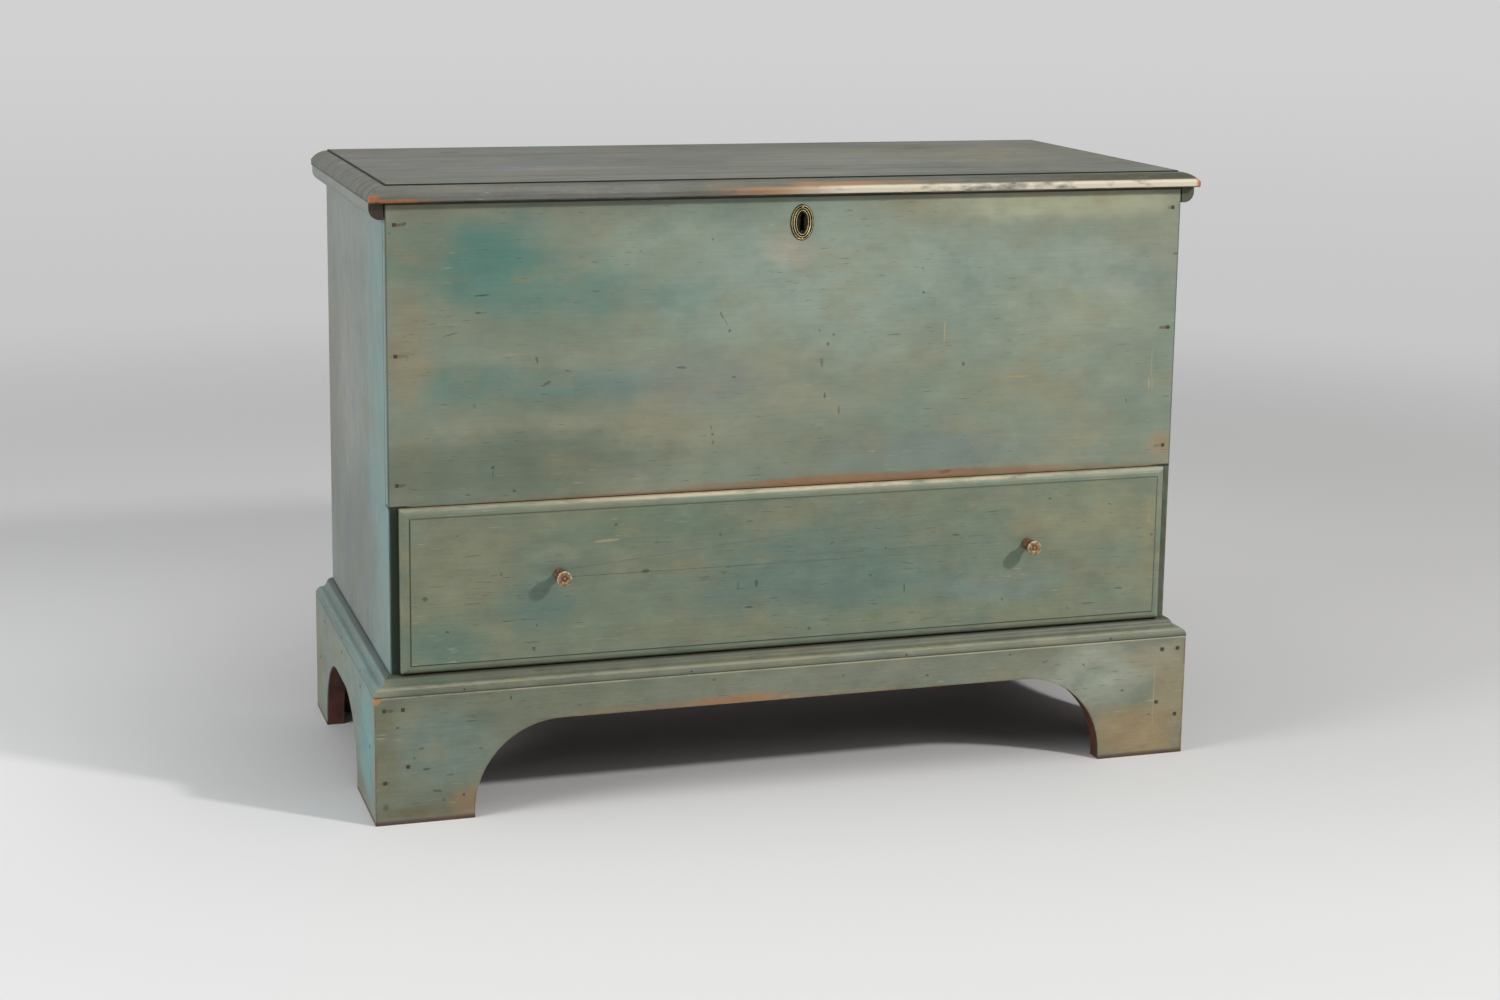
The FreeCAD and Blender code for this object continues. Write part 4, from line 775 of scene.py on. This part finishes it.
def build_materials():
    """The material of each look, by its name."""
    paint = {}

    def coat(look, grain, tones, *places, **more):
        paint[look] = painted("paint_" + look, grain, tones, *places, **more)

    coat("front", "x", (OLIVE, GREEN), FRONT_PATCHES, FRONT_MARKS, FRONT_SCRATCHES, FRONT_RUST,
         outside=front_side, seed=11, worn=0.45, lines=0.6, inside=keyhole_walls,
         trims=((front_foot, (122, 88, 58)), (front_cheek, (118, 148, 146))), spare=front_ends,
         dark=front_joints_and_shade, dark_tone=(40, 42, 32), rub=(112, 92, 62), bloom=(150, 120, 84))
    coat("drawer", "x", ((116, 122, 101), (108, 121, 104)), DRAWER_PATCHES, DRAWER_MARKS,
         DRAWER_SCRATCHES, outside=drawer_face, seed=23, worn=0.35, grime=0.8, mottle=0.7,
         lines=0.7, trims=((drawer_crest_wear_and_highlight, (190, 181, 154)),), spare=drawer_face_zone,
         dark=drawer_step_dirt_and_shade, dark_tone=(56, 56, 40), rub=(122, 118, 90), bloom=(150, 138, 104))
    coat("side", "z", SIDE_TONES, SIDE_PATCHES, plane="yz", outside=stile, seed=31, worn=0.3,
         lines=0.8, gloss=0.3, trims=((stile_olive, (108, 103, 78)),), dark=stile_shade,
         dark_tone=(30, 44, 32), rub=(118, 132, 124))
    coat("base", "x", ((106, 112, 95), (114, 120, 104)), BASE_PATCHES, BASE_MARKS, BASE_SCRATCHES,
         BASE_RUST, outside=base_outside, bare=SAWN, seed=43, worn=0.8, mottle=0.8, lines=0.8,
         trims=((base_rim, (186, 180, 152)), (base_chip, CHIPPED)), spare=base_rim_zone,
         dark=base_scuff, dark_tone=(78, 54, 36), rub=(92, 64, 40), bloom=(156, 104, 60))
    coat("base_side", "y", ((124, 132, 122), (118, 130, 122)), BASE_SIDE_PATCHES, plane="yz",
         outside=base_outside, bare=SAWN, seed=53, worn=0.7, mottle=0.8, lines=0.8,
         trims=((base_chip, CHIPPED),), spare=base_rim_zone, dark=base_scuff,
         dark_tone=(78, 60, 42), rub=(94, 70, 46), bloom=(150, 104, 62))
    coat("moulding", "x", ((99, 103, 86), (89, 95, 79)), seed=61, worn=0.2, mottle=0.8, grime=0.8,
         reach=2 * MM, trims=((moulding_crest_wear_and_highlight, (160, 158, 136)), (moulding_corner, (150, 146, 126))),
         dark=moulding_edge_shade, dark_tone=(58, 60, 48), rub=(128, 120, 98), bloom=(160, 152, 126))
    coat("moulding_side", "y", ((114, 136, 132), (104, 122, 116)), seed=67, worn=0.25, grime=0.8,
         reach=2 * MM, lines=1.8, trims=((moulding_crest_wear_and_highlight, (132, 152, 146)),), dark=moulding_edge_shade,
         dark_tone=(52, 62, 58), rub=(122, 138, 130), bloom=(140, 156, 148))
    coat("lid", "x", ((112, 113, 107), (102, 104, 95)), LID_PATCHES, LID_MARKS, plane="xy",
         outside=lid_outside, seed=71, worn=0.2, grime=0.5, lines=1.3, mottle=0.6,
         streaks=0.85, gloss=0.1, spare=lid_field, dark=lid_step_dirt_and_shade, dark_tone=(44, 46, 38),
         trims=((nose_tan, (156, 124, 96)), (nose_shade, (76, 76, 62)), (nose_cream_wear_and_highlight, (208, 200, 180)),
                (nose_line, (66, 56, 42)), (nose_tips, (168, 106, 66))),
         rub=(96, 92, 72), bloom=(120, 112, 88))
    for look, end_tone, seed in (("cleat", (74, 78, 60), 83), ("cleat_left", (50, 42, 29), 87)):
        coat(look, "y", SIDE_TONES, seed=seed, worn=0.2, grime=0.4, dark=cleat_end,
             dark_tone=end_tone, rub=(110, 110, 92), bloom=(130, 130, 112))
    paint["pine"] = bare_wood("bare_pine_x", "x", (168, 130, 88), (126, 90, 54))
    paint["pine_y"] = bare_wood("bare_pine_y", "y", (166, 128, 86), (124, 88, 54))
    paint["pine_z"] = bare_wood("bare_pine_z", "z", (92, 72, 54), (66, 52, 40), 1.2)
    paint["underside"] = bare_wood("dark_underside", "x", (70, 63, 57), (52, 48, 44), 1.2)
    paint["bracket"] = bare_wood("dark_bracket", "x", (100, 58, 44), (68, 40, 32), 1.2)
    paint["brass"] = brass()
    paint["iron"] = iron("old_iron", (62, 56, 50), 0.48)
    paint["nail"] = iron("nail_iron", (74, 66, 50), 0.62)
    paint["knob"] = knob_wood()
    return paint


def brass():
    """Old brass, olive in its grooves and bright where fingers rub."""
    net = Coat("old_brass")
    tarnish = net.noise((420, 420, 420), 4, 0.6, 2)
    crest = net.ramp(net.y + (tarnish - 0.5) * 0.0008, FRONT - 1.5 * MM, FRONT - 1.85 * MM)
    colour = net.mix(crest, (28, 24, 12), (206, 190, 142))
    colour = net.mix(net.ramp(tarnish, 0.54, 0.68) * 0.6, colour, (84, 72, 42))
    colour = net.mix(net.ramp(net.crevice(2 * MM), 0.85, 0.35) * 0.9, colour, (24, 20, 10))
    net.bump(tarnish, 0.15 * MM)
    return net.finish(colour, 0.34 + tarnish * 0.2, Metallic=0.7)


def iron(name, shade, rough):
    """Old iron, pitted, with rust in patches."""
    net = Coat(name)
    pits = net.noise((420, 420, 420), 4, 0.65, 4)
    rust = net.noise((70, 70, 70), 3, 0.6, 8)
    colour = net.shaded(tone(*shade), 0.7 + pits * 0.6)
    colour = net.mix(net.ramp(rust, 0.5, 0.7) * 0.6, colour, (96, 58, 34))
    net.bump(pits, 0.15 * MM)
    return net.finish(colour, rough + pits * 0.2, Metallic=0.45)


def knob_wood():
    """A turned knob: face worn to bare wood round a dark dimple, painted shade on the head's side, a
    pale rim of polish and painted highlight.
    """
    net = Coat("worn_knob_wood")
    side = net.x.size() - KNOB_MIDDLE.x
    rise = net.z - KNOB_MIDDLE.z
    off = net.far(side, rise)
    face = net.past(net.y, KNOB_FACE, 5, 2.5)
    mottle = net.noise((230, 230, 230), 4, 0.65, 2)
    worn = net.mix(net.ramp(mottle, 0.40, 0.60), (158, 126, 86), (94, 68, 42))
    stained = net.mix(net.ramp(mottle, 0.38, 0.62), (126, 86, 62), (70, 48, 34))
    colour = net.mix(face, stained, worn)
    ring = net.band(off - 2.9 * MM, 1.3, 0.4)
    colour = net.mix(ring * face * 0.85, colour, (58, 38, 24))
    # painted shade on the side of the head, behind its face
    behind = net.past(net.y, KNOB_FACE, 1.2, 2.4)
    colour = net.mix(behind * net.ramp(off, 7.5 * MM, 8.5 * MM) * 0.9, colour, (46, 31, 21))
    # the pale rim: polish, and a painted highlight
    rim = net.band(off - 9.2 * MM, 1.2, 0.2) * net.ramp(mottle, 0.62, 0.45)
    colour = net.mix(rim * face * 0.8, colour, (206, 186, 144))
    net.bump(mottle, 0.4 * MM)
    return net.finish(colour, 0.36 + mottle * 0.15, Specular_IOR_Level=0.5)


def both(*names):
    """The left and the right node of each name."""
    return [name + end for name in names for end in ("_left", "_right")]


DRESS = {  # the nodes of each look, and how far their edges are softened, in millimetres
    "front": (1.0, ["front_board"]),
    "drawer": (0.35, ["drawer_front"]),
    "side": (1.2, both("side")),
    "base": (2.2, ["base_front"]),
    "base_side": (2.2, both("base")),
    "moulding": (0.3, ["moulding_front"]),
    "moulding_side": (0.3, both("moulding")),
    "lid": (0.45, ["lid_board"]),
    "cleat": (1.2, ["lid_cleat_right"]),
    "cleat_left": (1.2, ["lid_cleat_left"]),
    "pine": (0.8, ["back_board_upper", "back_board_lower", "drawer_back", "well_floor",
                   "drawer_bottom"]),
    "underside": (0.8, ["glue_blocks", "case_bottom"]),
    "pine_y": (0.8, both("drawer_side")),
    "pine_z": (1.0, both("foot_block_front", "foot_block_rear")),
    "bracket": (1.2, both("rear_bracket")),
    "brass": (0.15, ["escutcheon", "escutcheon_pins"]),
    "iron": (0.25, ["lock_plate", "lock_cap", "lock_screws", "lock_bolt", "lock_keeper", "keeper_screws",
                    *both("hinge_case_leaf", "hinge_lid_leaf", "hinge_pin"), "hinge_case_screws",
                    "hinge_lid_screws"]),
    "nail": (0.2, ["front_board_nails", "base_front_nails", "base_side_nails", "moulding_brads",
                   "back_board_nails", "cleat_nails", "drawer_bottom_nails"]),
    "knob": (0.15, both("knob")),
}
SHARP_EDGE = math.radians(32)  # a flatter edge than this is part of a curve


def joined_skin():
    """A modifier's node group: one skin without doubled points, smooth but for its real edges."""
    tree = bpy.data.node_groups.new("joined_skin", "GeometryNodeTree")
    for way in ("INPUT", "OUTPUT"):
        tree.interface.new_socket("Geometry", in_out=way, socket_type="NodeSocketGeometry")
    net = Net(tree)
    joined = net.wire("GeometryNodeMergeByDistance", 0, Geometry=net.wire("NodeGroupInput", 0),
                      Distance=0.005 * MM)
    angle = net.wire("GeometryNodeInputMeshEdgeAngle", "Unsigned Angle")
    sharp = net.wire("FunctionNodeCompare", 0, A=angle, B=SHARP_EDGE)
    skin = net.wire("GeometryNodeSetMeshNormal", 0, Mesh=joined, Edge_Sharpness=sharp)
    net.feed(net.add("NodeGroupOutput").inputs[0], skin)
    return tree


def dress(paint):
    """Paints every solid and softens its edges."""
    skin = joined_skin()
    for look, (softening, names) in DRESS.items():
        for name in names:
            node = NODES[name]
            node.data.materials.clear()
            node.data.materials.append(paint[look])
            node.modifiers.new("skin", "NODES").node_group = skin
            bevel = node.modifiers.new("softened edges", "BEVEL")
            bevel.width = softening * MM
            bevel.segments = 3
            bevel.limit_method = "ANGLE"
            bevel.angle_limit = SHARP_EDGE
            bevel.harden_normals = True
            bevel.use_clamp_overlap = True


def placed(name, data):
    """A new object in the scene."""
    made = bpy.data.objects.new(name, data)
    bpy.context.scene.collection.objects.link(made)
    return made


def shaped(name, made, material):
    """The finished bmesh as a smooth piece of the scene."""
    bmesh.ops.recalc_face_normals(made, faces=made.faces)
    mesh = bpy.data.meshes.new(name)
    made.to_mesh(mesh)
    made.free()
    for face in mesh.polygons:
        face.use_smooth = True
    mesh.materials.append(material)
    return placed(name, mesh)


# ------------ escutcheon
OVAL_PROFILE = (  # inset from the oval's edge and height above the board, in millimetres
    (0, 0), (0, 0.5), (0.5, 0.6), (1, 1.5), (1.7, 1.9), (2.4, 1.5), (2.9, 0.6), (3.5, 0.6),
    (4, 1.6), (4.7, 2.1), (5.4, 1.6), (5.9, 0.6), (6.5, 0.6), (7, 1.5), (7.7, 1.9), (8.4, 1.5),
    (8.9, 0.6), (9.4, 0.5))
OVAL_SIDES = 96
ROUND_AT, ROUND_RADIUS = 8, 4.3  # the keyhole's round, above the oval's middle
ROUND_STEPS = 24
SLOT_TOP, SLOT_FOOT, SLOT_END = 2.5, 3.7, -11  # half widths of its slot, and its lower end


def keyhole_outline():
    """Points round the keyhole from the oval's middle, in millimetres."""
    neck = math.acos(SLOT_TOP / ROUND_RADIUS)
    turns = [-neck + (math.pi + 2 * neck) * i / ROUND_STEPS for i in range(ROUND_STEPS + 1)]
    arc = [(ROUND_RADIUS * math.cos(turn), ROUND_AT + ROUND_RADIUS * math.sin(turn)) for turn in turns]
    return [(SLOT_FOOT, SLOT_END)] + arc + [(-SLOT_FOOT, SLOT_END)]


def build_escutcheon(paint):
    """An oval plate with three cast beads round the keyhole."""
    half_wide, half_tall = (OVAL[1].x - OVAL[0].x) / 2, (OVAL[1].z - OVAL[0].z) / 2
    made = bmesh.new()

    def loop(points, out):
        at = OVAL_MIDDLE
        return [made.verts.new((at.x + x, FRONT - out * MM, at.z + z)) for x, z in points]

    def oval(inset):
        turns = [2 * math.pi * i / OVAL_SIDES for i in range(OVAL_SIDES)]
        return [((half_wide - inset * MM) * math.cos(turn), (half_tall - inset * MM) * math.sin(turn))
                for turn in turns]

    def joined(rings):
        for first, second in zip(rings, rings[1:]):
            for i in range(len(first)):
                k = (i + 1) % len(first)
                made.faces.new((first[i], second[i], second[k], first[k]))

    def filled(*borders):
        edges = [made.edges.get((ring[i - 1], ring[i])) for ring in borders for i in range(len(ring))]
        bmesh.ops.triangle_fill(made, use_beauty=True, use_dissolve=False, edges=edges)

    rings = [loop(oval(inset), out) for inset, out in OVAL_PROFILE]
    joined(rings)
    hole = [(x * MM, z * MM) for x, z in keyhole_outline()]
    walls = [loop(hole, OVAL_PROFILE[-1][1]), loop(hole, 0)]
    joined(walls)
    filled(rings[-1], walls[0])
    filled(rings[0], walls[1])
    plate = shaped("beaded_escutcheon", made, paint["brass"])
    plate.data.set_sharp_from_angle(angle=math.radians(50))
    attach(plate, "case")
    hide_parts("escutcheon")


# ------------ knobs
KNOB_PROFILE = (  # height above the drawer's face and radius, in millimetres
    (-25.7, 0), (-25.7, 4.9), (-12, 5), (0, 5), (0.1, 7.3), (0.9, 7.5), (2.2, 7.4), (3.2, 6.9), (5, 6.2),
    (8, 5.8), (11, 5.6), (14, 5.8), (16.6, 6.3), (18, 7.4), (18.7, 8.7), (19.6, 9.6), (21.2, 9.9),
    (24, 10), (26, 9.9), (27.1, 9.5), (27.75, 8.8), (28, 8.0), (27.95, 6.6), (27.7, 5.1), (27.2, 4.2),
    (26.4, 3.6), (26.3, 2.9), (26.9, 2.1), (27.2, 1.1), (27.2, 0))
KNOB_SIDES = 72
HEAD_FROM = 17  # the dents start above this height of the profile


def turned_knob(name, node, seed, material):
    """A turned knob whose face and rim are dented and worn uneven by hands."""
    low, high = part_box(node)
    x, z = (low.x + high.x) / 2, (low.z + high.z) / 2
    made = bmesh.new()
    rings = []
    for out, radius in KNOB_PROFILE:
        y = DRAWER[0].y - out * MM
        if radius == 0:
            rings.append([made.verts.new((x, y, z))])
            continue
        ring = []
        for i in range(KNOB_SIDES):
            turn = 2 * math.pi * i / KNOB_SIDES
            at = Vector((math.cos(turn), 0, math.sin(turn)))
            dent = noise.noise(at * 2.3 + Vector((seed, out * 0.12, 0))) * 0.5 if out > HEAD_FROM else 0
            r = (radius - abs(dent)) * MM
            ring.append(made.verts.new((x + at.x * r, y - min(dent, 0) * 0.4 * MM, z + at.z * r)))
        rings.append(ring)
    for inner, outer in zip(rings, rings[1:]):
        for i in range(KNOB_SIDES):
            k = (i + 1) % KNOB_SIDES
            if len(inner) == 1:
                made.faces.new((inner[0], outer[i], outer[k]))
            elif len(outer) == 1:
                made.faces.new((inner[i], outer[0], inner[k]))
            else:
                made.faces.new((inner[i], outer[i], outer[k], inner[k]))
    return shaped(name, made, material)


def build_knobs(paint):
    """The turned knobs in the solids' places."""
    for node, seed in (("knob_left", 1.7), ("knob_right", 5.2)):
        knob = turned_knob("turned_" + node, node, seed, paint["knob"])
        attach(knob, "drawer")
        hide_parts(node)


# ------------ camera, studio and light
CAMERA_AT = Vector((-1.0454, -3.3082, 1.1328))
YAW, PITCH, ROLL = 0.3078, 0.1785, 0.0136  # radians
SENSOR, LENS, SHIFT_UP = 36, 60.7, -0.08  # millimetres, and a share of the frame's width
LIGHTS = (  # name, place, aim, diameter, power and colour
    ("key", (2.57, -2.8, 2.66), (0.1, -0.2, 0.45), 0.36, 108, (1, 0.98, 0.95)),
    ("softbox", (2.7, -3.5, 2.5), (0.1, 0, 0.4), 1.3, 16, (1, 0.99, 0.97)),
    ("fill", (-4.0, -1.1, 2.2), (0, 0, 0.4), 2.0, 98, (0.97, 0.985, 1)),
    ("overhead", (0.3, -0.6, 3.4), (0.1, -0.1, 0), 3.2, 20, (1, 1, 1)),
)


def stand_camera():
    """The photo's camera, fitted to the corners of the case, base, lid and drawer."""
    ahead = Vector((math.sin(YAW) * math.cos(PITCH), math.cos(YAW) * math.cos(PITCH), -math.sin(PITCH)))
    right = Vector((math.cos(YAW), -math.sin(YAW), 0))
    up = right.cross(ahead)
    right, up = (right * math.cos(ROLL) + up * math.sin(ROLL),
                 up * math.cos(ROLL) - right * math.sin(ROLL))
    data = bpy.data.cameras.new("camera")
    data.sensor_width, data.lens, data.shift_y = SENSOR, LENS, SHIFT_UP
    data.clip_start, data.clip_end = 0.1, 100
    camera = placed("camera", data)
    turn = Matrix((right, up, -ahead)).transposed().to_4x4()
    camera.matrix_world = Matrix.Translation(CAMERA_AT) @ turn
    bpy.context.scene.camera = camera


def light(name, place, aim, diameter, power, colour):
    """A round lamp that shines from its place towards aim."""
    data = bpy.data.lights.new(name, "AREA")
    data.shape, data.size, data.energy, data.color = "DISK", diameter, power, colour
    turn = (Vector(aim) - Vector(place)).to_track_quat("-Z", "Y").to_matrix().to_4x4()
    placed(name, data).matrix_world = Matrix.Translation(Vector(place)) @ turn


def build_world():
    """A grey backdrop to look at, and a soft light that grows towards the zenith."""
    world = bpy.data.worlds.new("studio")
    bpy.context.scene.world = world
    world.use_nodes = True
    net = Net(world.node_tree)
    up = net.split(net.wire("ShaderNodeTexCoord", "Generated"))[2]
    rise = net.wire("ShaderNodeMapRange", 0, Value=up, From_Min=-0.30, From_Max=0.30)
    shown = net.stops(rise, ((0, 192), (0.26, 199), (0.45, 209), (1, 214)))
    backdrop = net.wire("ShaderNodeBackground", 0, Color=shown)
    glow = net.ramp(up, 0, 0.6, 0.04, 0.31)
    ambient = net.wire("ShaderNodeBackground", 0, Color=(1, 1, 1, 1), Strength=glow)
    studio = net.node("ShaderNodeMixShader", net.seen(), ambient, backdrop)
    net.feed(net.add("ShaderNodeOutputWorld").inputs[0], studio)


FLOOR_RADIUS = 14
FOOTPRINT = (0.6, 0.3)  # half the floor that the chest covers, along x and y
FACING = (0.303, 0.953)  # the way that the camera looks, over the floor


def build_floor():
    """A pale floor that catches the shadow, with painted light and shade, and fades into the backdrop
    further off.
    """
    mesh = bpy.data.meshes.new("floor")
    made = bmesh.new()
    bmesh.ops.create_circle(made, cap_ends=True, segments=96, radius=FLOOR_RADIUS)
    made.to_mesh(mesh)
    made.free()
    placed("floor", mesh)

    net = Coat("studio_floor")
    way = net.x * FACING[0] + net.y * FACING[1]
    cross = net.x * FACING[1] - net.y * FACING[0]
    # painted light and shade: the floor is coloured darker near the chest's line and towards the right
    shown = net.stops((way + 2) * 0.2, ((0, 228), (0.27, 228), (0.42, 219), (0.60, 226), (1, 226)))
    clear_of = net.far((net.x.size() - FOOTPRINT[0]).most(0), (net.y.size() - FOOTPRINT[1]).most(0))
    left_of = net.ramp(cross, -0.5, -1.1) * net.ramp(way, -0.8, -0.1) * net.ramp(way, 1.1, 0.2)
    # painted light: a glow for the camera, away from the chest and stronger on the left
    painted_glow = net.ramp(clear_of, 0.0, 0.8) * 0.03 + left_of * 0.10
    mesh.materials.append(net.finish(
        net.shaded(shown, net.ramp(cross, -0.6, 1.3, 1, 0.86)), 0.9, Specular_IOR_Level=0.1,
        Emission_Color=(1, 1, 1, 1), Emission_Strength=painted_glow * net.seen()))
    far_off = net.ramp(net.far(net.x, net.y), 1.7, 4.2)
    faded = net.node("ShaderNodeMixShader", far_off, Wire(net, net.shader.outputs[0]),
                     net.node("ShaderNodeBsdfTransparent"))
    net.feed(net.out.inputs["Surface"], faded)


bpy.context.scene.view_settings.view_transform = "Standard"
stand_camera()
build_world()
build_floor()
for lamp in LIGHTS:
    light(*lamp)
PAINT = build_materials()
dress(PAINT)
build_escutcheon(PAINT)
build_knobs(PAINT)
